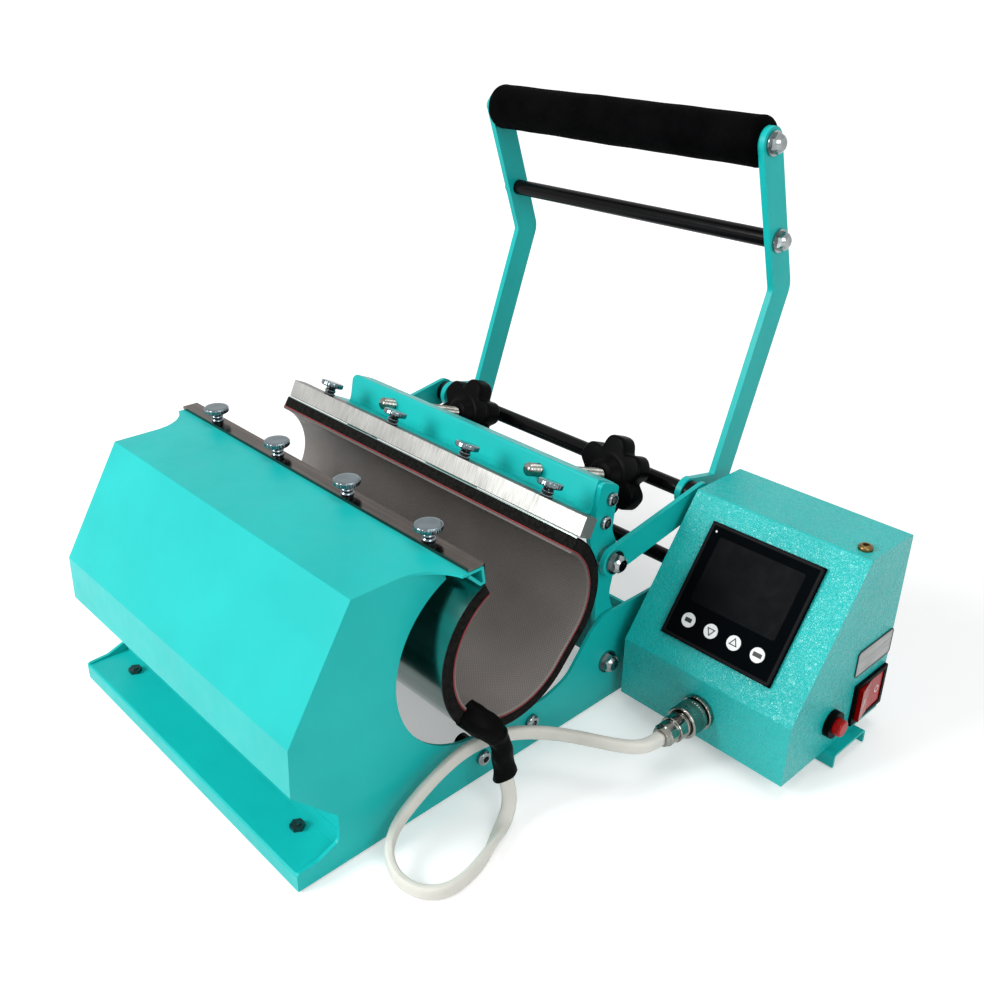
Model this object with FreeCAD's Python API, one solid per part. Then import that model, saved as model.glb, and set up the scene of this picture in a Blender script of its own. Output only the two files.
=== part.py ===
import FreeCAD, Part
import math
import os

# Tumbler heat press: a bent-sheet frame with a fixed front hood, a rear jaw that swings about low
# pivots, a flexible heater wrapped between the two, a two-armed handle that closes the jaw through
# links, and a control box on the right.
# Working axes: X runs along the heater towards the control box, Y to the rear, Z up from the table.
# X = 0 is the middle of the heater. The finished nodes are moved so that the origin is the middle of
# the bottom of the press as it stands, without its free cord.

V = FreeCAD.Vector
X_AXIS = V(1, 0, 0)

# Fits and clearances
touch_gap = 0.3
running_gap = 0.05
pin_gap = 0.08
hole_gap = 0.2

# Frame sheet metal
plate_sheet = 2.0
hood_sheet = 1.5
bend_radius = 1.5
frame_half_width = 115.0
floor_gap = 1.2
base_front_y = -167.9
base_top_z = 11.2
base_corner_rise = 0.9
notch_rear_y = -142.5
notch_seam_z = 23.5
notch_top_z = 33.5
hood_nose_y = -167.4
hood_nose_low_z = 59.5
hood_nose_high_z = 86.6
hood_ridge_y = -128.1
hood_top_z = 149.5
hood_lip_y = -65.0
flare_start_y = -102.0
flare_radius = 25.0
bead_width = 9.4
bead_depth = 9.8
bead_tail = 3.4

# Side plates
cutout_y = -49.2
cutout_z = 86.9
cutout_radius = 55.8
cutout_floor_front = V(0, -49.2, 31.1)
cutout_floor_rear = V(0, 0.0, 28.5)
lug_rise = [V(0, 18.0, 34.0), V(0, 37.0, 57.0)]
lug_top_z = 63.6
lug_front_y = 47.0
rear_edge_y = 156.0
upright_front_y = 120.0
upright_radius = 13.0

# Cross members
cross_plate_y = 66.0
cross_plate_low_z = 14.0
cross_plate_flange = 16.0
rod_diameter = 10.0
rod_thread_diameter = 6.0
rod_thread_depth = 12.0
tie_rod_place = (-11.2, 18.9)
post_place = (-48.2, 14.6)
post_length = 16.0
low_screw_diameter = 5.0
low_screw_head = 9.0
low_screw_height = 3.2
cross_rod_place = (137.0, 57.2)

# Feet
foot_diameter = 17.0
foot_waist = 14.0
front_foot_inset = 27.0
front_foot_y = -149.5
outer_foot_inset = 10.1
foot_screw_diameter = 4.0
foot_screw_head = 7.0

# Channel under the control box
channel_front_y = 99.8
channel_rear_y = 133.9
channel_overhang = 6.2
channel_sheet = 1.5
channel_gap = 0.3

# Pivots, as (y, z)
jaw_pivot = (52.2, 29.4)
link_jaw_pivot = (47.2, 101.7)
link_handle_pivot = (125.5, 115.5)
handle_pivot = (141.0, 90.0)
pivot_bolt_diameter = 8.0

# Bolt heads
bolt_flange_diameter = 14.0
bolt_flange_height = 1.5
bolt_hex_flats = 10.0
bolt_hex_height = 5.0
small_screw_diameter = 4.0
small_screw_head = 8.0
small_screw_height = 2.6

# Heater
heater_front_y = -41.5
heater_front_z = 94.2
heater_front_radius = 49.0
heater_rear_y = -21.0
heater_rear_z = 105.0
heater_rear_radius = 41.0
heater_front_angle = 116.0
heater_rear_angle = 57.0
shell_thickness = 0.6
foam_thickness = 6.6
mat_thickness = 1.8
heater_half_length = 132.0
lip_overhang = 0.8
shell_setback = 0.5
shell_tab_thickness = 0.6

# Clamp strip, clamp bar and their thumbscrews
strip_thickness = 1.6
strip_width = 9.6
strip_front_y = -74.6
bar_face = 11.3
bar_depth = 9.3
bar_tilt = 26.0
thumb_end_margin = 33.0
thumb_count = 4
thumb_shank_diameter = 5.0
thumb_collar_diameter = 6.4
thumb_collar_height = 5.4
thumb_head_diameter = 15.5
thumb_head_height = 3.6
thumb_dish_depth = 0.8
thumb_front_reach = 6.0
thumb_rear_reach = 8.0

# Jaw
jaw_plate = 3.0
jaw_side_gap = 0.5
jaw_arm_width = 14.0
jaw_sheet = 2.0
shelf_length = 22.2
shelf_angle = -27.3
wall_height = 17.6
wall_lean = 20.5
channel_flange = 15.0
flange_angle = -24.0
tab_length = 25.0
jaw_screw_places = [(49.5, 137.6), (45.2, 124.6)]

# Star knobs
knob_x = 66.5
stud_diameter = 8.0
stud_nut_flats = 11.0
stud_nut_gap = 0.1
stud_front = 9.0
knob_distance = 71.0
knob_diameter = 51.0
knob_lobes = 6
knob_valley = 19.5
knob_thickness = 13.0
knob_hub_diameter = 24.0
knob_hub_height = 6.0
lock_nut_distance = 45.0
nut_height = 6.5
nut_flats = 13.0

# Links and handle
link_plate = 3.0
link_side_gap = 1.5
link_width = 18.0
link_head_height = 2.6
arm_side_gap = 3.0
arm_plate = 4.0
arm_width = 18.0
arm_foot_radius = 11.0
lobe_radius = 9.0
arm_bend = (199.5, 228.0)
spacer_place = (188.8, 258.0)
grip_place = (170.3, 314.0)
grip_diameter = 28.6
grip_tube_diameter = 12.0
grip_tube_wall = 1.5
grip_edge_radius = 4.0
spacer_diameter = 10.5

# Control box
box_side_gap = 9.7
box_width = 111.4
box_front_y = 56.2
box_rear_y = 156.9
box_bottom_z = 10.25
box_fold_z = 48.3
box_slope_y = 113.3
box_top_z = 126.7
box_sheet = 1.5
box_edge_radius = 1.6
panel_width = 72.0
panel_height = 70.0
panel_low = 13.9
panel_bezel = 2.4
panel_bezel_lip = 2.6
panel_body_depth = 26.0
key_diameter = 8.4
key_pitch = 15.2
key_low = 26.7
key_height = 1.2
key_travel_room = 2.2
socket_offset = -0.4
socket_z = 28.0
socket_nut_diameter = 21.0
socket_nut_length = 3.2
socket_barrel_diameter = 15.6
socket_barrel_length = 9.0
socket_tail = 12.0
ring_outer_diameter = 19.0
ring_length = 12.0
ring_start = 4.2
plug_body_diameter = 15.0
plug_neck_diameter = 12.0
plug_back_y = 22.0
switch_y = 139.0
switch_z = 29.0
switch_width = 34.0
switch_height = 27.0
switch_bezel = 2.0
switch_wall = 2.6
switch_depth = 20.0
rocker_rise = 2.6
breaker_y = 99.6
breaker_z = 29.8
breaker_ring_diameter = 16.0
breaker_ring_length = 4.0
breaker_button_diameter = 10.0
breaker_button_reach = 4.5
breaker_depth = 24.0
inlet_offset = 19.6
inlet_z = 60.0
inlet_width = 48.0
inlet_height = 27.0
inlet_plate = 2.0
inlet_depth = 22.0
board_depth = 52.0
board_thickness = 1.6
board_side_gap = 8.0
board_switch_gap = 5.4
board_rear_gap = 10.0
board_blocks = [(6.0, 8.0, 28.0, 28.0, 24.0), (40.0, 8.0, 19.0, 16.0, 16.0),
                (40.0, 34.0, 30.0, 10.0, 10.0)]
standoff_height = 6.0
earth_screw_inset = 9.3
earth_screw_y = 122.0
rear_screw_diameter = 3.0
rear_screw_rise = 4.0
floor_flange_height = 7.0

# Places that follow from the sizes above
plate_inner_x = frame_half_width - plate_sheet
lip_half_width = heater_half_length + lip_overhang
bar_half_length = heater_half_length
jaw_half_width = plate_inner_x - jaw_side_gap
link_inner_x = frame_half_width + link_side_gap
arm_inner_x = plate_inner_x - arm_side_gap - arm_plate
front_foot_x = frame_half_width - front_foot_inset
box_left_x = frame_half_width + box_side_gap
box_right_x = box_left_x + box_width
box_middle_x = (box_left_x + box_right_x) / 2
channel_end_x = box_right_x + channel_overhang
outer_foot_x = box_right_x - outer_foot_inset
socket_x = box_middle_x + socket_offset
inlet_x = box_middle_x + inlet_offset
earth_screw_place = (box_right_x - earth_screw_inset, earth_screw_y)

# Heater cable, laid through hand-picked points, and its shrink sleeve
cable_diameter = 7.6
sleeve_diameter = 12.0
sleeve_points = [
    V(129.5, -67.3, 71.0), V(137.0, -66.3, 61.5), V(141.9, -64.8, 50.5), V(144.4, -62.8, 39.5),
    V(145.6, -60.6, 28.5),
]
cable_points = [
    V(145.6, -60.6, 28.5), V(146.7, -58.6, 18.4), V(148.6, -60.2, 10.5), V(151.0, -66.0, 5.2),
    V(154.5, -74.5, 4.0), V(160.2, -86.5, 4.0), V(164.4, -100.5, 4.0), V(165.0, -116.2, 4.0),
    V(157.2, -126.9, 4.2), V(144.5, -131.0, 6.2), V(131.8, -126.9, 10.5), V(124.6, -116.2, 16.2),
    V(123.2, -101.5, 23.8), V(122.7, -85.5, 30.8), V(122.5, -68.5, 35.0), V(123.2, -51.5, 34.4),
    V(126.2, -36.5, 31.4), V(132.8, -24.2, 29.0), V(143.4, -14.5, 28.2), V(155.6, -6.8, 28.0),
    V(167.0, -0.5, 28.0), V(175.5, 5.7, 28.0), V(socket_x, 13.5, socket_z),
]
plug_entry = V(socket_x, plug_back_y, socket_z)


# Small geometry helpers

def yz(point, x=0.0):
    return V(x, point[0], point[1])


def side_view(angle):
    """Unit vector in the YZ plane, at an angle from +Y towards +Z."""
    return V(0, math.cos(math.radians(angle)), math.sin(math.radians(angle)))


def box(x0, x1, y0, y1, z0, z1):
    return Part.makeBox(x1 - x0, y1 - y0, z1 - z0, V(x0, y0, z0))


def cylinder(start, direction, diameter, length):
    return Part.makeCylinder(diameter / 2, length, start, direction)


def x_rod(place, diameter, x0, x1):
    return cylinder(yz(place, x0), X_AXIS, diameter, x1 - x0)


def through(place, diameter, x0, x1):
    """Cutter for a hole along X through a plate between two places."""
    return x_rod(place, diameter, x0 - 1, x1 + 1)


def mirrored(shape):
    return shape.mirror(V(0, 0, 0), X_AXIS)


def both_sides(shape):
    return [shape, mirrored(shape)]


def corner_arc(before, corner, after, radius):
    """Start, middle and end of the arc that rounds a corner."""
    back = (before - corner).normalize()
    ahead = (after - corner).normalize()
    half = back.getAngle(ahead) / 2
    reach = radius / math.tan(half)
    middle = (back + ahead).normalize()
    centre = corner + middle * (radius / math.sin(half))
    return corner + back * reach, centre - middle * radius, corner + ahead * reach


def rounded_edges(points, radii, closed=False):
    """Straight runs and tangent arcs through a list of corners."""
    count = len(points)
    edges = []
    arcs = {}
    for i in range(count):
        inside = closed or 0 < i < count - 1
        if inside and radii[i] > 0:
            arcs[i] = corner_arc(points[i - 1], points[i], points[(i + 1) % count], radii[i])
    for i in range(count if closed else count - 1):
        j = (i + 1) % count
        start = arcs[i][2] if i in arcs else points[i]
        end = arcs[j][0] if j in arcs else points[j]
        if (end - start).Length > 1e-6:
            edges.append(Part.LineSegment(start, end).toShape())
        if j in arcs:
            edges.append(Part.Arc(*arcs[j]).toShape())
    return edges


def outline(points, radii):
    return Part.Face(Part.Wire(rounded_edges(points, radii, closed=True)))


def x_slab(face, x0, x1):
    slab = face.extrude(V(x1 - x0, 0, 0))
    slab.translate(V(x0, 0, 0))
    return slab


def turn_side(before, corner, after):
    return (corner - before).cross(after - corner).x


def shifted_path(points, distance):
    """The same run of corners, moved to the left of its direction in the YZ plane."""
    moved = []
    for i, point in enumerate(points):
        normals = []
        for a, b in ((i - 1, i), (i, i + 1)):
            if a >= 0 and b < len(points):
                run = (points[b] - points[a]).normalize()
                normals.append(V(0, -run.z, run.y))
        mean = sum(normals, V(0, 0, 0)).normalize()
        moved.append(point + mean * (distance / mean.dot(normals[0])))
    return moved


def bent_sheet(points, thickness, x0, x1, inner_radius=bend_radius):
    """Folded sheet along a side-view path, with its thickness to the left of the path."""
    left = shifted_path(points, thickness)
    radii, left_radii = [0.0], [0.0]
    for before, corner, after in zip(points, points[1:], points[2:]):
        turns_left = turn_side(before, corner, after) > 0
        radii.append(inner_radius + (thickness if turns_left else 0.0))
        left_radii.append(inner_radius + (0.0 if turns_left else thickness))
    radii.append(0.0)
    left_radii.append(0.0)
    return x_slab(outline(points + left[::-1], radii + left_radii[::-1]), x0, x1)


def stadium(start, end, width, x0, x1):
    run = (end - start).normalize()
    side = V(0, -run.z, run.y) * (width / 2)
    edges = [
        Part.LineSegment(start + side, end + side).toShape(),
        Part.Arc(end + side, end + run * (width / 2), end - side).toShape(),
        Part.LineSegment(end - side, start - side).toShape(),
        Part.Arc(start - side, start - run * (width / 2), start + side).toShape(),
    ]
    return x_slab(Part.Face(Part.Wire(edges)), x0, x1)


def hexagon(start, direction, flats, height):
    """Hexagonal prism, standing on its start point."""
    radius = flats / math.sqrt(3)
    corners = [V(radius * math.cos(k * math.pi / 3), radius * math.sin(k * math.pi / 3), 0)
               for k in range(7)]
    prism = Part.Face(Part.makePolygon(corners)).extrude(V(0, 0, height))
    prism.Placement = FreeCAD.Placement(start, FreeCAD.Rotation(V(0, 0, 1), direction))
    return prism


def flange_bolt(seat, direction, shank, reach):
    """Bolt with a flanged hexagon head on its seat and a shank that goes back into the work."""
    head = cylinder(seat, direction, bolt_flange_diameter, bolt_flange_height)
    hexed = hexagon(seat, direction, bolt_hex_flats, bolt_flange_height + bolt_hex_height)
    dome = Part.makeSphere(bolt_hex_flats * 0.62, seat + direction * (bolt_hex_height * 0.28))
    body = head.fuse(hexed.common(dome.fuse(cylinder(seat, direction, bolt_hex_flats * 2, 2.5))))
    return body.fuse(cylinder(seat - direction * reach, direction, shank, reach)).removeSplitter()


def pan_screw(seat, direction, shank, head, height, reach):
    cap = cylinder(seat, direction, head, height)
    cap = cap.makeFillet(height * 0.6, [cap.Edges[0]])
    slot = hexagon(seat + direction * (height * 0.45), direction, head * 0.42, height)
    body = cap.cut(slot)
    return body.fuse(cylinder(seat - direction * reach, direction, shank, reach)).removeSplitter()


def compound(solids):
    return solids[0] if len(solids) == 1 else Part.makeCompound(solids)


# Frame

hood_path = [
    V(0, notch_rear_y, notch_seam_z), V(0, notch_rear_y, notch_top_z),
    V(0, hood_nose_y, hood_nose_low_z), V(0, hood_nose_y + 1.0, hood_nose_high_z),
    V(0, hood_ridge_y, hood_top_z), V(0, hood_lip_y, hood_top_z),
]
hood_inner = shifted_path(hood_path, -hood_sheet)


def front_hood():
    """Bent hood sheet with a flared lip that curls into a triangular bead."""
    lip = hood_path[-1]
    bead_back = lip + V(0, 1.4, -bead_depth)
    bead_foot = bead_back + V(0, -bead_tail, -0.3)
    bead_tip = V(0, lip.y - bead_width, hood_top_z - hood_sheet - 1.1)
    path = hood_path + [bead_back, bead_foot, bead_tip]
    sheet = bent_sheet(path, -hood_sheet, -lip_half_width, lip_half_width, 0.6)
    side = frame_half_width
    reach = math.sqrt(flare_radius ** 2 - (flare_radius - lip_half_width + side) ** 2)
    middle = math.radians(38)
    start = V(side, flare_start_y, 0)
    bow = V(side + flare_radius * (1 - math.cos(middle)),
            flare_start_y + flare_radius * math.sin(middle), 0)
    end = V(lip_half_width, flare_start_y + reach, 0)
    rear = hood_lip_y + bead_width
    right = [Part.LineSegment(V(side, base_front_y, 0), start).toShape(),
             Part.Arc(start, bow, end).toShape(),
             Part.LineSegment(end, V(lip_half_width, rear, 0)).toShape()]
    left = [mirrored(edge) for edge in right]
    front = Part.LineSegment(V(-side, base_front_y, 0), V(side, base_front_y, 0)).toShape()
    back = Part.LineSegment(V(-lip_half_width, rear, 0), V(lip_half_width, rear, 0)).toShape()
    plan = Part.Face(Part.Wire(Part.__sortEdges__(right + left + [front, back])))
    hood = sheet.common(plan.extrude(V(0, 0, hood_top_z + 20)))
    for x in thumb_x_places():
        place = V(x, strip_front_y + strip_width / 2, hood_top_z - thumb_front_reach)
        hood = hood.cut(cylinder(place, V(0, 0, 1), thumb_shank_diameter + 2 * running_gap, 20))
    return hood


def base_plate():
    """Front foot plate with a folded lip at the front and an upstand in the notch."""
    path = [
        V(0, base_front_y, floor_gap), V(0, base_front_y, base_top_z),
        V(0, notch_rear_y, base_top_z), V(0, notch_rear_y, notch_seam_z - touch_gap),
    ]
    sheet = bent_sheet(path, -hood_sheet, -plate_inner_x, plate_inner_x)
    for x in (-front_foot_x, front_foot_x):
        sheet = sheet.cut(cylinder(V(x, front_foot_y, 0), V(0, 0, 1),
                                   foot_screw_diameter + 2 * hole_gap, base_top_z + 5))
    return sheet


def side_outline():
    """Outer edge of a side plate, from the front foot over the lug to the rear upright."""
    pivot_y, pivot_z = handle_pivot
    upright_rear_y = pivot_y + upright_radius
    low = [
        (V(0, base_front_y, floor_gap), 1), (V(0, base_front_y, base_top_z + base_corner_rise), 2),
        (V(0, base_front_y + 13, base_top_z + base_corner_rise + 0.6), 8),
        (V(0, notch_rear_y - 0.6, base_top_z + 6), 3), (V(0, notch_rear_y, notch_seam_z), 0),
    ]
    hood = [(hood_inner[0], 0)] + [(point, 1) for point in hood_inner[1:5]] + [(V(0, cutout_y - 25.5, hood_inner[5].z), 0)]
    rear = [
        (V(0, rear_edge_y, lug_top_z), 6), (V(0, rear_edge_y, floor_gap), 1),
        (V(0, channel_rear_y + channel_gap, floor_gap), 0),
        (V(0, channel_rear_y + channel_gap, box_bottom_z + channel_gap), 0),
        (V(0, channel_front_y - channel_gap, box_bottom_z + channel_gap), 0),
        (V(0, channel_front_y - channel_gap, floor_gap), 0),
    ]
    upright = [
        (V(0, upright_front_y, lug_top_z), 6), (V(0, pivot_y - upright_radius, pivot_z), 0),
        (V(0, pivot_y - upright_radius, pivot_z + upright_radius), upright_radius - 0.2),
        (V(0, upright_rear_y, pivot_z + upright_radius), upright_radius - 0.2),
        (V(0, upright_rear_y, lug_top_z + 1), 2),
    ]
    lug = [(V(0, lug_front_y, lug_top_z), 9)]
    inner = cutout_edge()
    chain = low + hood
    return chain, inner, lug + upright + rear


def cutout_edge():
    """Start and end of the round cutout arc, from under the hood lip down to its floor."""
    centre = V(0, cutout_y, cutout_z)
    start_angle = math.radians(115.0)
    end_angle = math.radians(270.0)
    middle_angle = math.radians(190.0)
    return [centre + V(0, cutout_radius * math.cos(a), cutout_radius * math.sin(a))
            for a in (start_angle, middle_angle, end_angle)]


def side_plate():
    """Right side plate; the left one is its mirror image."""
    chain, arc, tail = side_outline()
    chain_points = [point for point, radius in chain] + [arc[0]]
    chain_radii = [radius for point, radius in chain] + [0]
    floor = [arc[2], cutout_floor_rear] + lug_rise
    tail_points = floor + [point for point, radius in tail] + [chain_points[0]]
    tail_radii = [0, 30, 20] + [12] + [radius for point, radius in tail] + [0]
    edges = rounded_edges(chain_points, chain_radii)
    edges.append(Part.Arc(*arc).toShape())
    edges += rounded_edges(tail_points, tail_radii)
    plate = x_slab(Part.Face(Part.Wire(edges)), plate_inner_x, frame_half_width)
    for place, thread in ((tie_rod_place, low_screw_diameter), (post_place, low_screw_diameter),
                          (cross_rod_place, rod_thread_diameter)):
        plate = plate.cut(through(place, thread + 2 * hole_gap, plate_inner_x, frame_half_width))
    for place in (jaw_pivot, handle_pivot):
        plate = plate.cut(through(place, pivot_bolt_diameter, plate_inner_x, frame_half_width))
    return plate



def rear_cross_plate():
    """Upright sheet between the side plates, with a flange along its foot."""
    path = [
        V(0, cross_plate_y + cross_plate_flange, cross_plate_low_z), V(0, cross_plate_y, cross_plate_low_z),
        V(0, cross_plate_y, lug_top_z - 0.2),
    ]
    return bent_sheet(path, -plate_sheet, -plate_inner_x, plate_inner_x)


def frame_rods():
    """Tapped spacers: two rods between the side plates and a short post on each plate's inside."""
    rods = []
    for place, thread in ((tie_rod_place, low_screw_diameter),
                          (cross_rod_place, rod_thread_diameter)):
        rod = x_rod(place, rod_diameter, -plate_inner_x, plate_inner_x)
        for x0, x1 in ((-plate_inner_x, rod_thread_depth - plate_inner_x),
                       (plate_inner_x - rod_thread_depth, plate_inner_x)):
            rod = rod.cut(x_rod(place, thread, x0, x1))
        rods.append(rod)
    post = x_rod(post_place, rod_diameter, plate_inner_x - post_length, plate_inner_x)
    post = post.cut(x_rod(post_place, low_screw_diameter, plate_inner_x - rod_thread_depth,
                          plate_inner_x))
    return compound(rods + both_sides(post))


def frame_bolts():
    """Pan screws low on the side plates and flanged bolts at the cross rod."""
    bolts = []
    for place in (tie_rod_place, post_place):
        bolts += both_sides(pan_screw(yz(place, frame_half_width), X_AXIS, low_screw_diameter,
                                      low_screw_head, low_screw_height, rod_thread_depth - 1))
    bolts += both_sides(flange_bolt(yz(cross_rod_place, frame_half_width), X_AXIS,
                                    rod_thread_diameter, rod_thread_depth - 1))
    return compound(bolts)


def pivot_bolts():
    """Shoulder bolts that carry the jaw and the handle; they stay in the side plates."""
    jaw = flange_bolt(yz(jaw_pivot, frame_half_width), X_AXIS, pivot_bolt_diameter,
                      frame_half_width - (jaw_half_width - jaw_plate) + 1.5)
    handle = flange_bolt(yz(handle_pivot, frame_half_width), X_AXIS, pivot_bolt_diameter,
                         frame_half_width - arm_inner_x + 1.5)
    washer = x_rod(handle_pivot, bolt_flange_diameter, arm_inner_x + arm_plate + running_gap,
                   plate_inner_x)
    handle = handle.fuse(washer.cut(through(handle_pivot, pivot_bolt_diameter, arm_inner_x,
                                           frame_half_width)))
    return compound(both_sides(jaw) + both_sides(handle))


def support_channel():
    """Inverted channel through the side plates that carries the control box."""
    path = [
        V(0, channel_rear_y, floor_gap), V(0, channel_rear_y, box_bottom_z),
        V(0, channel_front_y, box_bottom_z), V(0, channel_front_y, floor_gap),
    ]
    channel = bent_sheet(path, channel_sheet, -frame_half_width + plate_sheet + touch_gap,
                         channel_end_x)
    middle_y = (channel_front_y + channel_rear_y) / 2
    for x in (-front_foot_x, front_foot_x, outer_foot_x):
        channel = channel.cut(cylinder(V(x, middle_y, 0), V(0, 0, 1),
                                       foot_screw_diameter + 2 * hole_gap, box_bottom_z + 5))
    return channel


def foot_places():
    """Each foot as its centre and the underside that it is screwed to."""
    middle_y = (channel_front_y + channel_rear_y) / 2
    front = [(x, front_foot_y, base_top_z - hood_sheet) for x in (-front_foot_x, front_foot_x)]
    rear = [(x, middle_y, box_bottom_z - channel_sheet)
            for x in (-front_foot_x, front_foot_x, outer_foot_x)]
    return front, rear


def rubber_feet():
    feet = []
    front, rear = foot_places()
    for x, y, top in front + rear:
        foot = Part.makeCone(foot_waist / 2, foot_diameter / 2, top, V(x, y, 0))
        well = cylinder(V(x, y, 0), V(0, 0, 1), foot_screw_head, 2.5)
        hole = cylinder(V(x, y, 0), V(0, 0, 1), foot_screw_diameter, top)
        feet.append(foot.cut(well).cut(hole))
    return compound(feet)


def foot_screws():
    """Screws up through the feet, each with its nut on top of the sheet."""
    screws = []
    front, rear = foot_places()
    for x, y, top in front + rear[:2]:
        sheet = hood_sheet if y < 0 else channel_sheet
        screws.append(foot_screw(x, y, top + sheet, 3.0))
    x, y, top = rear[2]
    screws.append(foot_screw(x, y, top + channel_sheet + box_sheet, 3.0))
    return compound(screws)


def foot_screw(x, y, seat, nut):
    head = cylinder(V(x, y, 1.0), V(0, 0, 1), foot_screw_head - 2 * hole_gap, 1.5)
    shank = cylinder(V(x, y, 1.0), V(0, 0, 1), foot_screw_diameter, seat - 1.0 + nut)
    return head.fuse(shank).fuse(hexagon(V(x, y, seat), V(0, 0, 1), 7.0, nut * 0.8)).removeSplitter()


# Heater

heater_front_centre = V(0, heater_front_y, heater_front_z)
heater_rear_centre = V(0, heater_rear_y, heater_rear_z)


def heater_tangent():
    """Angle of the shared outward normal where the front arc runs into the rear arc."""
    step = heater_rear_centre - heater_front_centre
    spread = math.acos((heater_front_radius - heater_rear_radius) / step.Length)
    return math.degrees(math.atan2(step.z, step.y) - spread)


def band_edges(inset):
    """Edges of the wrap from its front end, round the bottom, to its rear end."""
    tangent = heater_tangent()
    front = heater_front_radius - inset
    rear = heater_rear_radius - inset
    front_end = tangent + 360
    front_arc = [heater_front_centre + side_view(a) * front
                 for a in (heater_front_angle, (heater_front_angle + front_end) / 2, front_end)]
    rear_arc = [heater_rear_centre + side_view(a) * rear
                for a in (tangent, (tangent + heater_rear_angle) / 2, heater_rear_angle)]
    return [Part.Arc(*front_arc).toShape(),
            Part.LineSegment(front_arc[2], rear_arc[0]).toShape(),
            Part.Arc(*rear_arc).toShape()], front_arc[0], rear_arc[2]


def band(outer_inset, inner_inset, half_length):
    outer, outer_start, outer_end = band_edges(outer_inset)
    inner, inner_start, inner_end = band_edges(inner_inset)
    caps = [Part.LineSegment(outer_start, inner_start).toShape(),
            Part.LineSegment(outer_end, inner_end).toShape()]
    face = Part.Face(Part.Wire(Part.__sortEdges__(outer + inner + caps)))
    return x_slab(face, -half_length, half_length)


def heater_shell():
    """Polished steel band, with a tab behind the hood bead that the clamp strip holds down."""
    half = heater_half_length - shell_setback
    ring = band(0, shell_thickness, half)
    start = heater_front_centre + side_view(heater_front_angle) * (heater_front_radius - 0.3)
    back_y = hood_lip_y + 1.4 + hole_gap
    tab = box(-half, half, back_y, back_y + shell_tab_thickness,
              start.z - 0.4, hood_top_z + shell_tab_thickness)
    fold = box(-half, half, strip_front_y, back_y + shell_tab_thickness,
               hood_top_z, hood_top_z + shell_tab_thickness)
    shell = ring.fuse(tab).fuse(fold).removeSplitter()
    for x in thumb_x_places():
        place = V(x, strip_front_y + strip_width / 2, hood_top_z - 1)
        shell = shell.cut(cylinder(place, V(0, 0, 1), thumb_shank_diameter + 2 * running_gap, 5))
    return shell


def heater_foam():
    foam = band(shell_thickness, shell_thickness + foam_thickness, heater_half_length)
    return foam.cut(heater_shell())


def heating_mat():
    inset = shell_thickness + foam_thickness
    return band(inset, inset + mat_thickness, heater_half_length)


# Clamping parts

def thumb_x_places():
    outer = heater_half_length - thumb_end_margin
    return [outer * (2 * i / (thumb_count - 1) - 1) for i in range(thumb_count)]


strip_low_z = hood_top_z + shell_tab_thickness


def front_clamp_strip():
    strip = box(-lip_half_width, lip_half_width, strip_front_y, strip_front_y + strip_width,
                strip_low_z, strip_low_z + strip_thickness)
    for x in thumb_x_places():
        place = V(x, strip_front_y + strip_width / 2, strip_low_z - 1)
        strip = strip.cut(cylinder(place, V(0, 0, 1), thumb_shank_diameter + 2 * running_gap, 8))
    return strip


bar_up = side_view(90 - bar_tilt)
bar_back = side_view(-bar_tilt)
bar_corner = heater_rear_centre + side_view(heater_rear_angle - 1.5) * (heater_rear_radius + touch_gap)


def bar_point(back, up, x=0.0):
    return bar_corner + bar_back * back + bar_up * up + V(x, 0, 0)


def rear_clamp_bar():
    corners = [bar_point(0, 0), bar_point(bar_depth, 0), bar_point(bar_depth, bar_face),
               bar_point(0, bar_face)]
    bar = x_slab(outline(corners, [0.6] * 4), -bar_half_length, bar_half_length)
    for x in thumb_x_places():
        place = bar_point(bar_depth / 2, bar_face - thumb_rear_reach - 0.5, x)
        bar = bar.cut(cylinder(place, bar_up, thumb_shank_diameter + 2 * running_gap, 20))
    return bar


def thumbscrew(seat, up, reach):
    """Thumbscrew with a dished head on a two-step collar."""
    shank = cylinder(seat - up * reach, up, thumb_shank_diameter, reach + 1)
    low = cylinder(seat, up, thumb_collar_diameter, thumb_collar_height)
    ring = cylinder(seat + up * (thumb_collar_height * 0.5), up, thumb_collar_diameter + 1.2,
                    thumb_collar_height * 0.3)
    head = cylinder(seat + up * thumb_collar_height, up, thumb_head_diameter, thumb_head_height)
    head = head.makeFillet(thumb_head_height * 0.36, [e for e in head.Edges if len(e.Vertexes) == 1
                                                      or e.Closed][:2])
    dish = cylinder(seat + up * (thumb_collar_height + thumb_head_height - thumb_dish_depth), up,
                    thumb_head_diameter - 5, thumb_dish_depth + 1)
    return shank.fuse([low, ring, head.cut(dish)]).removeSplitter()


def front_thumbscrew(x):
    seat = V(x, strip_front_y + strip_width / 2, strip_low_z + strip_thickness + running_gap)
    return thumbscrew(seat, V(0, 0, 1), thumb_front_reach)


def rear_thumbscrew(x):
    return thumbscrew(bar_point(bar_depth / 2, bar_face + running_gap, x), bar_up, thumb_rear_reach)


# Jaw

shelf_start = bar_point(bar_depth, bar_face - 0.6)
wall_foot = shelf_start + side_view(shelf_angle) * shelf_length
wall_top = wall_foot + side_view(90 - wall_lean) * wall_height
flange_end = wall_top + side_view(flange_angle) * channel_flange
wall_normal = side_view(-wall_lean)
wall_middle = (wall_foot + wall_top) * 0.5
bracket_inner_x = jaw_half_width - jaw_plate


def end_tab_outline():
    down = side_view(-90 - wall_lean + 8)
    return [wall_top, flange_end, flange_end + down * tab_length, wall_top + down * tab_length]


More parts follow.
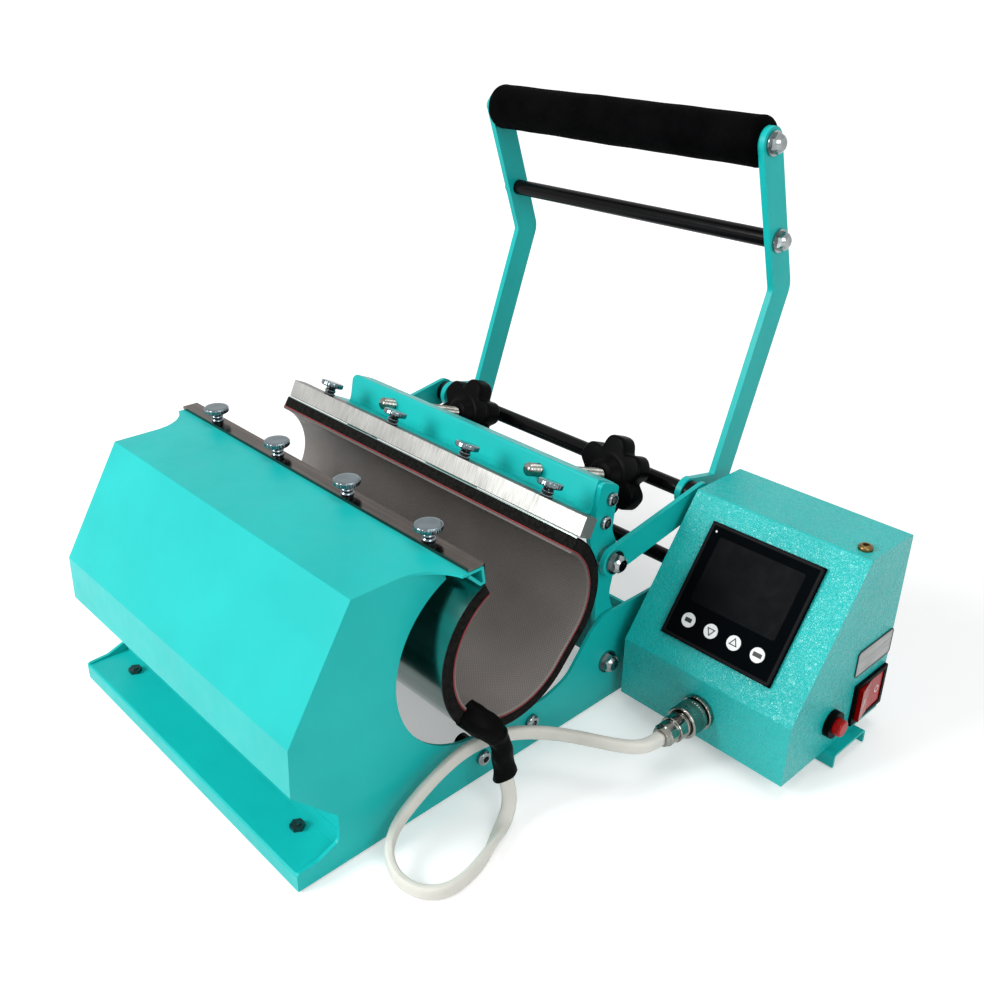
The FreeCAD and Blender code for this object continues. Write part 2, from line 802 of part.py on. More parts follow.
def jaw_channel():
    """Folded channel behind the clamp bar, with an end tab for each bracket."""
    foot = bar_point(bar_depth, 0.4)
    path = [foot, shelf_start, wall_foot, wall_top, flange_end]
    channel = bent_sheet(path, -jaw_sheet, -bracket_inner_x, bracket_inner_x)
    for side in (-1, 1):
        x0, x1 = sorted((side * bracket_inner_x, side * (bracket_inner_x - jaw_sheet)))
        tab = x_slab(outline(end_tab_outline(), [0.5, 3, 4, 4]), x0, x1)
        for place in jaw_screw_places:
            tab = tab.cut(x_rod(place, small_screw_diameter, x0 - 1, x1 + 1))
        channel = channel.fuse(tab)
    for x in (-knob_x, knob_x):
        start = wall_middle - wall_normal * 5 + V(x, 0, 0)
        channel = channel.cut(cylinder(start, wall_normal, stud_diameter + 2 * running_gap, 10))
    return channel.removeSplitter()


def jaw_bracket():
    """Right end bracket of the jaw, from the channel down to the low pivot."""
    pivot = yz(jaw_pivot)
    knee = yz(link_jaw_pivot)
    half = jaw_arm_width / 2
    points = [
        (wall_top + V(0, -0.3, -0.6), 3), (flange_end + V(0, 0.6, -0.4), 3),
        (knee + V(0, 4.8, 15.8), 10), (knee + V(0, half + 2.5, 6), 8),
        (knee + V(0, 8.8, -13.7), 14), (knee + V(0, 5.2, -29.7), 20),
        (pivot + V(0, half + 2, 28.6), 20),
        (pivot + V(0, half + 2, -half - 2), half + 1.8), (pivot + V(0, -half - 2, -half - 2), half + 1.8),
        (pivot + V(0, -half - 2, 25.6), 20), (knee + V(0, -5.7, -27.7), 20),
        (knee + V(0, -half - 0.6, -6), 9), (knee + V(0, -13.8, 16.3), 9),
        (knee + V(0, -9.6, 29.9), 5),
    ]
    face = outline([point for point, radius in points], [radius for point, radius in points])
    plate = x_slab(face, bracket_inner_x, jaw_half_width)
    holes = [(jaw_pivot, pivot_bolt_diameter + 2 * pin_gap), (link_jaw_pivot, pivot_bolt_diameter)]
    holes += [(place, small_screw_diameter) for place in jaw_screw_places]
    for place, diameter in holes:
        plate = plate.cut(through(place, diameter, bracket_inner_x, jaw_half_width))
    return plate


def jaw_screws():
    """Screws through the brackets into the channel tabs, and the fixed nuts of the studs."""
    solids = []
    for place in jaw_screw_places:
        screw = pan_screw(yz(place, jaw_half_width), X_AXIS, small_screw_diameter,
                          small_screw_head, small_screw_height, jaw_plate + jaw_sheet + 1)
        solids += both_sides(screw)
    for x in (-knob_x, knob_x):
        seat = wall_middle + wall_normal * (jaw_sheet + stud_nut_gap) + V(x, 0, 0)
        nut = hexagon(seat, wall_normal, stud_nut_flats, nut_height)
        solids.append(nut.cut(cylinder(seat, wall_normal, stud_diameter + 2 * running_gap, 12)))
    return compound(solids)


def link_bolts():
    """Bolts that carry the links on the jaw brackets, each with a spacer washer."""
    seat = yz(link_jaw_pivot, link_inner_x + link_plate + running_gap)
    bolt = flange_bolt(seat, X_AXIS, pivot_bolt_diameter, link_plate + link_inner_x
                       - bracket_inner_x + running_gap + 1)
    washer = x_rod(link_jaw_pivot, bolt_flange_diameter, jaw_half_width, link_inner_x - running_gap)
    return compound(both_sides(bolt.fuse(washer).removeSplitter()))


# Star knobs

def star_outline(radius, valley, lobes):
    """Closed run of arcs, bulging at each lobe and hollow between lobes."""
    edges = []
    step = 2 * math.pi / lobes
    for k in range(lobes):
        peak = k * step
        flank = step * 0.27
        shoulder = radius * 0.93
        points = [
            V(shoulder * math.cos(peak - flank), shoulder * math.sin(peak - flank), 0),
            V(radius * math.cos(peak), radius * math.sin(peak), 0),
            V(shoulder * math.cos(peak + flank), shoulder * math.sin(peak + flank), 0),
            V(valley * math.cos(peak + step / 2), valley * math.sin(peak + step / 2), 0),
            V(shoulder * math.cos(peak + step - flank), shoulder * math.sin(peak + step - flank), 0),
        ]
        edges.append(Part.Arc(*points[:3]).toShape())
        edges.append(Part.Arc(*points[2:]).toShape())
    return Part.Face(Part.Wire(edges))


def star_knob(x):
    """Six-lobed knob with its threaded stud and lock nut."""
    centre = wall_middle + wall_normal * knob_distance + V(x, 0, 0)
    star = star_outline(knob_diameter / 2, knob_valley, knob_lobes).extrude(V(0, 0, knob_thickness))
    rims = [e for e in star.Edges if abs(e.BoundBox.ZLength) < 1e-6]
    star = star.makeFillet(knob_thickness * 0.22, rims)
    star.translate(V(0, 0, -knob_thickness / 2))
    hub = Part.makeCone(knob_hub_diameter / 2 - 3, knob_hub_diameter / 2, knob_hub_height,
                        V(0, 0, -knob_thickness / 2 - knob_hub_height))
    knob = star.fuse(hub)
    knob.Placement = FreeCAD.Placement(centre, FreeCAD.Rotation(V(0, 0, 1), wall_normal))
    start = wall_middle - wall_normal * stud_front + V(x, 0, 0)
    stud = cylinder(start, wall_normal, stud_diameter, stud_front + knob_distance)
    nut = hexagon(wall_middle + wall_normal * lock_nut_distance + V(x, 0, 0), wall_normal,
                  nut_flats, nut_height)
    washer = cylinder(wall_middle + wall_normal * (lock_nut_distance + nut_height) + V(x, 0, 0),
                      wall_normal, nut_flats + 4, 1.6)
    metal = stud.fuse([nut, washer]).removeSplitter()
    return compound([knob.cut(metal).removeSplitter(), metal])


# Links and handle

def link():
    """Right link, with the head of the bolt that joins it to the cross rod of the handle."""
    start, end = yz(link_jaw_pivot), yz(link_handle_pivot)
    plate = stadium(start, end, link_width, link_inner_x, link_inner_x + link_plate)
    outer = link_inner_x + link_plate
    plate = plate.cut(through(link_jaw_pivot, pivot_bolt_diameter + 2 * pin_gap, link_inner_x, outer))
    head = x_rod(link_handle_pivot, bolt_flange_diameter, outer, outer + link_head_height)
    return plate.fuse(head).removeSplitter()


def arm():
    """Right handle arm: a long bent bar with a crank lobe for the cross rod."""
    foot, bend, top = yz(handle_pivot), yz(arm_bend), yz(grip_place)
    crank = yz(link_handle_pivot)
    x0, x1 = arm_inner_x, arm_inner_x + arm_plate
    root = V(0, handle_pivot[0] + 8.5, handle_pivot[1])
    half = arm_width / 2
    upward = (top - bend).normalize()
    along = (bend - root).normalize()
    left_low = V(0, -along.z, along.y) * half
    left_top = V(0, -upward.z, upward.y) * half
    edge_front = meeting(root + left_low, along, bend + left_top, upward)
    edge_rear = meeting(root - left_low, along, bend - left_top, upward)
    face = outline([root + left_low, root - left_low, edge_rear, top - left_top, top + left_top,
                    edge_front], [0, 0, 14, 0, 0, 5])
    bar = x_slab(face, x0, x1).fuse(x_rod(grip_place, arm_width, x0, x1))
    web = outline([crank + V(0, -lobe_radius, 0), foot + V(0, -arm_foot_radius, 0), foot + V(0, 0, 0),
                   root + along * 28 + left_low * 0.9, crank + V(0, 0, lobe_radius * 0.98)], [0] * 5)
    lobe = x_rod(link_handle_pivot, 2 * lobe_radius, x0, x1)
    hub = x_rod(handle_pivot, 2 * arm_foot_radius, x0, x1)
    heel = x_rod((root.y, root.z), arm_width, x0, x1)
    plate = bar.fuse([x_slab(web, x0, x1), lobe, hub, heel]).removeSplitter()
    holes = [(handle_pivot, pivot_bolt_diameter + 2 * pin_gap), (link_handle_pivot, rod_diameter),
             (spacer_place, rod_thread_diameter), (grip_place, rod_thread_diameter)]
    for place, diameter in holes:
        plate = plate.cut(through(place, diameter, x0, x1))
    return plate


def meeting(p, u, q, v):
    """Where two straight lines of the side view cross."""
    t = ((q - p).cross(v)).x / (u.cross(v)).x
    return p + u * t


def link_rod():
    """Cross rod of the handle, with the collars that stand between arms and links."""
    rod = x_rod(link_handle_pivot, rod_diameter, -link_inner_x + touch_gap, link_inner_x - touch_gap)
    collar = x_rod(link_handle_pivot, rod_diameter + 5, arm_inner_x + arm_plate,
                   link_inner_x - touch_gap - 0.5)
    return rod.fuse(both_sides(collar)).removeSplitter()


def grip_tube():
    tube = x_rod(grip_place, grip_tube_diameter, -arm_inner_x, arm_inner_x)
    return tube.cut(x_rod(grip_place, rod_thread_diameter, -arm_inner_x, arm_inner_x))


def grip_foam():
    half = arm_inner_x - 0.2
    foam = x_rod(grip_place, grip_diameter, -half, half)
    foam = foam.makeFillet(grip_edge_radius, [e for e in foam.Edges if e.Curve.TypeId == 'Part::GeomCircle'])
    return foam.cut(x_rod(grip_place, grip_tube_diameter, -half, half))


def spacer_rod():
    rod = x_rod(spacer_place, spacer_diameter, -arm_inner_x, arm_inner_x)
    return rod.cut(x_rod(spacer_place, rod_thread_diameter, -arm_inner_x, arm_inner_x))


def handle_bolts():
    bolts = []
    for place in (spacer_place, grip_place):
        bolt = flange_bolt(yz(place, arm_inner_x + arm_plate), X_AXIS, rod_thread_diameter,
                           arm_plate + 14)
        bolts += both_sides(bolt)
    return compound(bolts)


# Control box

box_profile = [
    V(0, box_front_y, box_bottom_z), V(0, box_rear_y, box_bottom_z), V(0, box_rear_y, box_top_z),
    V(0, box_slope_y, box_top_z), V(0, box_front_y, box_fold_z),
]
slope_along = (box_profile[3] - box_profile[4]).normalize()
slope_out = V(0, -slope_along.z, slope_along.y)


def slope_point(across, along, out=0.0):
    """Point on the sloped face: across X, up the slope, and out of the face."""
    return V(across, 0, 0) + box_profile[4] + slope_along * along + slope_out * out


def slope_block(x0, x1, low, high, inner, outer):
    """Block standing on the sloped face between two depths."""
    corners = [slope_point(0, low, inner), slope_point(0, high, inner),
               slope_point(0, high, outer), slope_point(0, low, outer)]
    return x_slab(outline(corners, [0] * 4), x0, x1)


def box_cavity():
    """The hollow inside the control box shell, open at the bottom."""
    t = box_sheet
    ring = shifted_path([box_profile[1], box_profile[2], box_profile[3], box_profile[4], box_profile[0]], t)
    inner = [V(0, ring[0].y, box_bottom_z - 1), ring[1], ring[2], ring[3],
             V(0, ring[4].y, box_bottom_z - 1)]
    return x_slab(outline(inner, [0] * 5), box_left_x + t, box_right_x - t)


def box_openings():
    """Cutters for everything that passes through the shell."""
    room = hole_gap
    panel = slope_block(box_middle_x - panel_width / 2 + panel_bezel_lip - room,
                        box_middle_x + panel_width / 2 - panel_bezel_lip + room,
                        panel_low + panel_bezel_lip - room,
                        panel_low + panel_height - panel_bezel_lip + room, -10, 5)
    socket = cylinder(V(socket_x, box_front_y - 5, socket_z), V(0, 1, 0),
                      socket_barrel_diameter, 12)
    switch = box(box_right_x - 5, box_right_x + 5,
                 switch_y - switch_width / 2 + 2, switch_y + switch_width / 2 - 2,
                 switch_z - switch_height / 2 + 2, switch_z + switch_height / 2 - 2)
    breaker = cylinder(V(box_right_x - 5, breaker_y, breaker_z), X_AXIS,
                       breaker_ring_diameter - 4, 12)
    inlet = box(inlet_x - inlet_width / 2 + 10, inlet_x + inlet_width / 2 - 10,
                box_rear_y - 5, box_rear_y + 5,
                inlet_z - inlet_height / 2 + 1.5, inlet_z + inlet_height / 2 - 1.5)
    earth = cylinder(V(*earth_screw_place, box_top_z - 5), V(0, 0, 1), small_screw_diameter, 12)
    return [panel, socket, switch, breaker, inlet, earth] + rear_screw_holes()


def box_shell():
    face = outline(box_profile, [0.0, 0.0, box_edge_radius, box_edge_radius, box_edge_radius])
    shell = x_slab(face, box_left_x, box_right_x)
    shell = shell.cut(box_cavity())
    for cutter in box_openings():
        shell = shell.cut(cutter)
    return shell


def box_floor():
    """Floor pan of the control box, with side flanges inside the shell."""
    t = box_sheet
    x0, x1 = box_left_x + t + hole_gap / 2, box_right_x - t - hole_gap / 2
    y0, y1 = box_front_y + t + hole_gap / 2, box_rear_y - t - hole_gap / 2
    floor = box(x0, x1, y0, y1, box_bottom_z, box_bottom_z + t)
    top = box_bottom_z + floor_flange_height
    walls = [box(x0, x0 + t, y0 + 20, y1, box_bottom_z, top), box(x0, x1, y1 - t, y1, box_bottom_z, top)]
    floor = floor.fuse(walls).removeSplitter()
    middle_y = (channel_front_y + channel_rear_y) / 2
    foot_hole = cylinder(V(outer_foot_x, middle_y, box_bottom_z - 1), V(0, 0, 1),
                         foot_screw_diameter + 2 * hole_gap, 10)
    return floor.cut([foot_hole] + rear_screw_holes())


def rear_screw_seats():
    return [V(x, box_rear_y, box_bottom_z + rear_screw_rise) for x in (box_left_x + 12, box_right_x - 12)]


def rear_screw_holes():
    return [cylinder(seat - V(0, 8, 0), V(0, 1, 0), rear_screw_diameter, 16)
            for seat in rear_screw_seats()]


def box_screws():
    """Screws behind and on top of the control box, and the posts under its board."""
    seat = V(*earth_screw_place, box_top_z)
    solids = [pan_screw(seat, V(0, 0, 1), small_screw_diameter, small_screw_head,
                        small_screw_height, 8)]
    for seat in rear_screw_seats():
        solids.append(pan_screw(seat, V(0, 1, 0), rear_screw_diameter, 2 * rear_screw_diameter,
                                2.0, box_sheet + 3))
    for dx in (4, board_width - 4):
        for dy in (4, board_depth - 4):
            foot = V(board_x0 + dx, board_y0 + dy, box_bottom_z + box_sheet)
            solids.append(hexagon(foot, V(0, 0, 1), 5.5, standoff_height))
    return compound(solids)


def controller():
    """Panel-mounted controller with a bezel on the slope and a body behind it."""
    x0, x1 = box_middle_x - panel_width / 2, box_middle_x + panel_width / 2
    bezel = slope_block(x0, x1, panel_low, panel_low + panel_height, 0, panel_bezel)
    lip = panel_bezel_lip
    body = slope_block(x0 + lip, x1 - lip, panel_low + lip, panel_low + panel_height - lip,
                       -panel_body_depth, 0)
    case = bezel.fuse(body).removeSplitter()
    for x in key_x_places():
        well = slope_point(x, key_low, panel_bezel - key_travel_room)
        case = case.cut(cylinder(well, slope_out, key_diameter + 2 * running_gap, 5))
    return case


def key_x_places():
    return [box_middle_x + key_pitch * (i - 1.5) for i in range(4)]


def key(x):
    foot = slope_point(x, key_low, panel_bezel - key_height)
    cap = cylinder(foot, slope_out, key_diameter, key_height + 0.5)
    return cap


def cable_socket():
    """Round panel socket: nut outside, threaded barrel, and contacts inside the box."""
    out = V(0, -1, 0)
    face = V(socket_x, box_front_y, socket_z)
    nut = hexagon(face, out, socket_nut_diameter - 2, socket_nut_length)
    nut = nut.common(cylinder(face, out, socket_nut_diameter, socket_nut_length))
    barrel = cylinder(face - out * socket_tail, out, socket_barrel_diameter,
                      socket_tail + socket_barrel_length)
    return barrel.fuse(nut).removeSplitter()


def plug_ring():
    """Knurled locking ring that screws onto the socket."""
    out = V(0, -1, 0)
    start = V(socket_x, box_front_y - ring_start, socket_z)
    ring = cylinder(start, out, ring_outer_diameter, ring_length)
    ring = ring.makeFillet(0.8, [e for e in ring.Edges if e.Curve.TypeId == 'Part::GeomCircle'])
    bore = cylinder(start, out, socket_barrel_diameter + 2 * pin_gap, ring_length)
    return ring.cut(bore)


def cable_plug():
    """Plug body that the cable enters, seated in the locking ring."""
    out = V(0, -1, 0)
    nose = V(socket_x, box_front_y - socket_barrel_length - touch_gap, socket_z)
    back = V(socket_x, plug_back_y, socket_z)
    full = (back - nose).Length
    nose_part = cylinder(nose, out, socket_barrel_diameter, full * 0.55)
    waist = cylinder(nose, out, plug_body_diameter, full * 0.8)
    neck = cylinder(nose, out, plug_neck_diameter, full)
    neck = neck.makeFillet(1.0, [e for e in neck.Edges if e.Curve.TypeId == 'Part::GeomCircle'
                                 and abs(e.CenterOfMass.y - plug_back_y) < 0.01])
    return nose_part.fuse([waist, neck]).removeSplitter()


def switch_housing():
    """Rocker switch frame on the right wall, hollow where the rocker sits."""
    y0, y1 = switch_y - switch_width / 2, switch_y + switch_width / 2
    z0, z1 = switch_z - switch_height / 2, switch_z + switch_height / 2
    bezel = box(box_right_x, box_right_x + switch_bezel, y0, y1, z0, z1)
    body = box(box_right_x - switch_depth, box_right_x, y0 + 2, y1 - 2, z0 + 2, z1 - 2)
    wall = switch_wall
    well = box(box_right_x - 7, box_right_x + switch_bezel + 1, y0 + wall, y1 - wall,
               z0 + wall, z1 - wall)
    return bezel.fuse(body).removeSplitter().cut(well)


def rocker():
    """Rocker cap, tipped about an axis along Z in the middle of its well."""
    wall = switch_wall + touch_gap
    y0, y1 = switch_y - switch_width / 2 + wall, switch_y + switch_width / 2 - wall
    z0, z1 = switch_z - switch_height / 2 + wall, switch_z + switch_height / 2 - wall
    base_x = box_right_x - 3.4
    top_x = box_right_x + switch_bezel
    points = [V(base_x, y0 + 1.2, z0), V(top_x + rocker_rise, y0, z0), V(top_x - 0.2, switch_y, z0),
              V(top_x - 0.6, y1, z0), V(base_x, y1 - 1.2, z0)]
    face = Part.Face(Part.makePolygon(points + [points[0]]))
    return face.extrude(V(0, 0, z1 - z0))


def reset_breaker():
    """Thermal breaker: a threaded ring outside and its body inside the box."""
    face = V(box_right_x, breaker_y, breaker_z)
    ring = cylinder(face, X_AXIS, breaker_ring_diameter, breaker_ring_length)
    neck = cylinder(face - X_AXIS * box_sheet, X_AXIS, breaker_ring_diameter - 4, box_sheet)
    body = box(box_right_x - breaker_depth, box_right_x - box_sheet, breaker_y - 7, breaker_y + 7,
               breaker_z - 9, breaker_z + 9)
    bore = cylinder(face - X_AXIS * 4, X_AXIS, breaker_button_diameter + 2 * running_gap, 12)
    return ring.fuse([neck, body]).removeSplitter().cut(bore)


def reset_button():
    start = V(box_right_x - 1.6, breaker_y, breaker_z)
    length = 1.6 + breaker_ring_length + breaker_button_reach
    button = cylinder(start, X_AXIS, breaker_button_diameter, length)
    return button.makeFillet(1.2, [e for e in button.Edges if e.Curve.TypeId == 'Part::GeomCircle'
                                   and e.CenterOfMass.x > box_right_x])


def power_inlet():
    """Mains inlet on the back wall, with its recess and pins."""
    x0, x1 = inlet_x - inlet_width / 2, inlet_x + inlet_width / 2
    z0, z1 = inlet_z - inlet_height / 2, inlet_z + inlet_height / 2
    flange = box(x0, x1, box_rear_y, box_rear_y + inlet_plate, z0, z1)
    body = box(x0 + 10, x1 - 10, box_rear_y - inlet_depth, box_rear_y, z0 + 1.5, z1 - 1.5)
    recess = box(x0 + 12, x1 - 12, box_rear_y - inlet_depth + 3, box_rear_y + 5, z0 + 5, z1 - 5)
    inlet = flange.fuse(body).removeSplitter().cut(recess)
    pins = [box(inlet_x + dx - 0.9, inlet_x + dx + 0.9, box_rear_y - inlet_depth + 2,
                box_rear_y - 4, inlet_z + dz - 2, inlet_z + dz + 2)
            for dx, dz in ((-7, -1.5), (0, 2), (7, -1.5))]
    return inlet.fuse(pins).removeSplitter()


board_z = box_bottom_z + box_sheet + standoff_height
board_x0 = box_left_x + board_side_gap
board_width = box_width - board_side_gap - switch_depth - board_switch_gap
board_y0 = box_rear_y - board_rear_gap - board_depth


def circuit_board():
    """Driver board with a relay, a transformer and a terminal block."""
    x0, y0, z0 = board_x0, board_y0, board_z
    board = box(x0, x0 + board_width, y0, y0 + board_depth, z0, z0 + board_thickness)
    top = z0 + board_thickness
    blocks = [box(x0 + dx, x0 + dx + length, y0 + dy, y0 + dy + depth, top, top + height)
              for dx, dy, length, depth, height in board_blocks]
    return board.fuse(blocks).removeSplitter()


# Cable

def tube_path(points, share=0.45):
    """Straight runs joined by the largest tangent arcs that their lengths allow."""
    radii = [0.0]
    for before, corner, after in zip(points, points[1:], points[2:]):
        turn = (corner - before).getAngle(after - corner)
        shorter = min((corner - before).Length, (after - corner).Length)
        radii.append(share * shorter / math.tan(turn / 2))
    radii.append(0.0)
    return Part.Wire(rounded_edges(points, radii)), radii


def tube(points, diameter, bore=0.0):
    path, radii = tube_path(points)
    start, run = points[0], (points[1] - points[0]).normalize()
    section = Part.Wire(Part.Circle(start, run, diameter / 2).toShape())
    solid = path.makePipeShell([section], True, False)
    if bore:
        core = Part.Wire(Part.Circle(start, run, bore / 2).toShape())
        solid = solid.cut(path.makePipeShell([core], True, False))
    return solid, path, radii


def heater_cable():
    points = cable_points + [plug_entry]
    solid, path, radii = tube(points, cable_diameter)
    expected = path.Length * math.pi * cable_diameter ** 2 / 4
    inner = [r for r in radii if r > 0]
    print("cable length %.1f, volume %.1f against %.1f" % (path.Length, solid.Volume, expected))
    print("cable radii", " ".join("%.1f" % r for r in inner))
    runs = [(b - a).Length for a, b in zip(points, points[1:])]
    print("cable runs", " ".join("%.1f" % r for r in runs))
    return solid


def cable_sleeve():
    """Shrink sleeve, trimmed flush with the end of the heater that it comes out of."""
    solid, path, radii = tube(sleeve_points, sleeve_diameter)
    print("sleeve radii", " ".join("%.1f" % r for r in radii if r > 0))
    inside = box(heater_half_length - 20, heater_half_length, -100, -40, 40, 100)
    return solid.cut(inside)


# Assembly

def build_nodes():
    nodes = {
        "base_plate": base_plate(),
        "front_hood": front_hood(),
        "side_plate_right": side_plate(),
        "side_plate_left": mirrored(side_plate()),
        "rear_cross_plate": rear_cross_plate(),
        "frame_rods": frame_rods(),
        "frame_bolts": frame_bolts(),
        "pivot_bolts": pivot_bolts(),
        "support_channel": support_channel(),
        "rubber_feet": rubber_feet(),
        "foot_screws": foot_screws(),
        "front_clamp_strip": front_clamp_strip(),
        "heater_shell": heater_shell(),
        "heater_foam": heater_foam(),
        "heating_mat": heating_mat(),
        "rear_clamp_bar": rear_clamp_bar(),
        "jaw_channel": jaw_channel(),
        "jaw_bracket_right": jaw_bracket(),
        "jaw_bracket_left": mirrored(jaw_bracket()),
        "jaw_screws": jaw_screws(),
        "link_bolts": link_bolts(),
        "link_right": link(),
        "link_left": mirrored(link()),
        "star_knob_right": star_knob(knob_x),
        "star_knob_left": star_knob(-knob_x),
        "handle_arm_right": arm(),
        "handle_arm_left": mirrored(arm()),
        "link_rod": link_rod(),
        "grip_tube": grip_tube(),
        "grip_foam": grip_foam(),
        "spacer_rod": spacer_rod(),
        "handle_bolts": handle_bolts(),
        "box_shell": box_shell(),
        "box_floor": box_floor(),
        "box_screws": box_screws(),
        "controller": controller(),
        "cable_socket": cable_socket(),
        "plug_ring": plug_ring(),
        "cable_plug": cable_plug(),
        "heater_cable": heater_cable(),
        "cable_sleeve": cable_sleeve(),
        "switch_housing": switch_housing(),
        "rocker": rocker(),
        "reset_breaker": reset_breaker(),
        "reset_button": reset_button(),
        "power_inlet": power_inlet(),
        "circuit_board": circuit_board(),
    }
    for i, x in enumerate(thumb_x_places()):
        nodes["front_thumbscrew_%d" % (i + 1)] = front_thumbscrew(x)
        nodes["rear_thumbscrew_%d" % (i + 1)] = rear_thumbscrew(x)
    for i, x in enumerate(key_x_places()):
        nodes["panel_key_%d" % (i + 1)] = key(x)
    return nodes


def standing_origin(nodes):
    """Middle of the bottom of everything but the free cord and what hangs on it."""
    loose = ("heater_cable", "cable_sleeve", "cable_plug", "plug_ring")
    bounds = FreeCAD.BoundBox()
    for name, shape in nodes.items():
        if name not in loose:
            bounds.add(shape.optimalBoundingBox(False))
    return V((bounds.XMin + bounds.XMax) / 2, (bounds.YMin + bounds.YMax) / 2, bounds.ZMin)


def main():
    os.makedirs("parts", exist_ok=True)
    nodes = build_nodes()
    origin = standing_origin(nodes)
    print("origin in working axes", origin)
    for name, shape in nodes.items():
        shape.translate(-origin)
        shape.exportStep("parts/%s.step" % name)
        print("%-20s solids %2d valid %s volume %.0f" % (name, len(shape.Solids), shape.isValid(),
                                                         shape.Volume))


main()
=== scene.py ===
import math

import bmesh
import bpy
import numpy as np
from mathutils import Matrix


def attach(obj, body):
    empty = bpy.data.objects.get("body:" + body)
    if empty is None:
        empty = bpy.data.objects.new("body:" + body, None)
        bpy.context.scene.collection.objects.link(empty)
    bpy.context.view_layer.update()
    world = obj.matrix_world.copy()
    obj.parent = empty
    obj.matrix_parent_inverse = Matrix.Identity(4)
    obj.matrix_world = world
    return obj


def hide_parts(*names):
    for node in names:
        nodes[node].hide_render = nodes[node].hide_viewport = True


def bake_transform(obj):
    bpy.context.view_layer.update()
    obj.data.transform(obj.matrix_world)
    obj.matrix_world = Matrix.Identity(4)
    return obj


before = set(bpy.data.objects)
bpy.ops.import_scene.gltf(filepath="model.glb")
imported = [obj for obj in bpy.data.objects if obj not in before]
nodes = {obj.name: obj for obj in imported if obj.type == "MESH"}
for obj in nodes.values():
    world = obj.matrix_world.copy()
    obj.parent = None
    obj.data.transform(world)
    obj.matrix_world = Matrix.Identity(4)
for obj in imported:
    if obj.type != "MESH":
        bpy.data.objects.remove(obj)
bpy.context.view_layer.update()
pressOrigin = np.array([55.9, 20.150701, 0])  # the part's origin in press coordinates, mm
millimetre = 0.001
fullTurn = 2 * math.pi
white = (1, 1, 1, 1)


def place(points):
    # press coordinates in mm to the part's own frame in metres
    return (np.asarray(points, float) - pressOrigin) * millimetre


# ---- camera

cameraSet = dict(
    position=(438.601, -350.021, 398.133),  # press coordinates, mm
    azimuth=46.5358, elevation=26.6813, roll=0.6781,
    focalPixels=1043.659, framePixels=984, sensor=36, clip=(0.01, 100),
)


def makeCamera(s):
    # the camera looks along minus its third column, which points back at it from the press
    a, e, r = (math.radians(s[k]) for k in ("azimuth", "elevation", "roll"))
    back = np.array([math.sin(a) * math.cos(e), -math.cos(a) * math.cos(e), math.sin(e)])
    level = np.array([math.cos(a), math.sin(a), 0])
    upright = np.cross(back, level)
    data = bpy.data.cameras.new("camera")
    data.sensor_width = s["sensor"]
    data.lens = s["sensor"] * s["focalPixels"] / s["framePixels"]
    data.clip_start, data.clip_end = s["clip"]
    camera = bpy.data.objects.new("camera", data)
    bpy.context.scene.collection.objects.link(camera)
    turn = np.eye(4)
    turn[:3, 0] = math.cos(r) * level + math.sin(r) * upright
    turn[:3, 1] = -math.sin(r) * level + math.cos(r) * upright
    turn[:3, 2] = back
    turn[:3, 3] = place(s["position"])
    camera.matrix_world = Matrix(turn.tolist())
    bpy.context.scene.camera = camera


makeCamera(cameraSet)
bpy.context.scene.view_settings.view_transform = "Standard"


# ---- shader nodes

def feed(tree, node, inputs):
    # each input takes a constant or another node's output
    for key, value in inputs.items():
        if isinstance(value, bpy.types.NodeSocket):
            tree.links.new(value, node.inputs[key])
        else:
            node.inputs[key].default_value = value


def addNode(tree, kind, inputs, **own):
    # own holds the node's settings; its outputs come back
    made = tree.nodes.new("ShaderNode" + kind)
    for key, value in own.items():
        setattr(made, key, value)
    feed(tree, made, inputs)
    return made.outputs


def combine(tree, operation, *values):
    return addNode(tree, "Math", dict(enumerate(values)), operation=operation)[0]


def coordinates(tree, kind):
    return addNode(tree, "TexCoord", {})[kind]


def spread(tree, source, fromLow, fromHigh, low=0, high=1, kind="LINEAR"):
    # a value from one range into another, clamped
    ranges = {"Value": source, "From Min": fromLow, "From Max": fromHigh, "To Min": low,
              "To Max": high}
    return addNode(tree, "MapRange", ranges, interpolation_type=kind)["Result"]


def mixTones(tree, share, first, second, kind="MIX"):
    # sockets 6, 7 and 2 are the Mix node's two colours and its result
    return addNode(tree, "Mix", {0: share, 6: first, 7: second}, data_type="RGBA",
                   blend_type=kind)[2]


def seenRays(tree):
    # the light path, and 1 on rays from the camera or from a mirror
    rays = addNode(tree, "LightPath", {})
    return rays, combine(tree, "MAXIMUM", rays["Is Camera Ray"], rays["Is Glossy Ray"])


def newMaterial(name, sockets):
    material = bpy.data.materials.new(name)
    material.use_nodes = True
    tree = material.node_tree
    shader = tree.nodes["Principled BSDF"]
    feed(tree, shader, sockets)
    return tree, shader


# ---- world, lamps and floor

studio = dict(
    worldGlow=0.34,
    lamps=[
        # position in metres, aim, size, watts
        ((-0.50, -1.20, 0.85), (0, -0.06, 0.1), 0.6, 20),
        ((1.25, -0.45, 0.85), (0.1, 0, 0.1), 0.8, 8.5),
        ((0.15, 0.20, 1.45), (0, -0.03, 0.08), 0.7, 4.5),
    ],
    floorSize=60,
    floor={"Base Color": (0.84, 0.84, 0.84, 1), "Roughness": 0.75, "Specular IOR Level": 0.2,
           "Emission Color": white},
    lift=(0.30, 1.50, 0.34, 0.75),  # from and to a distance in metres, glow there
)


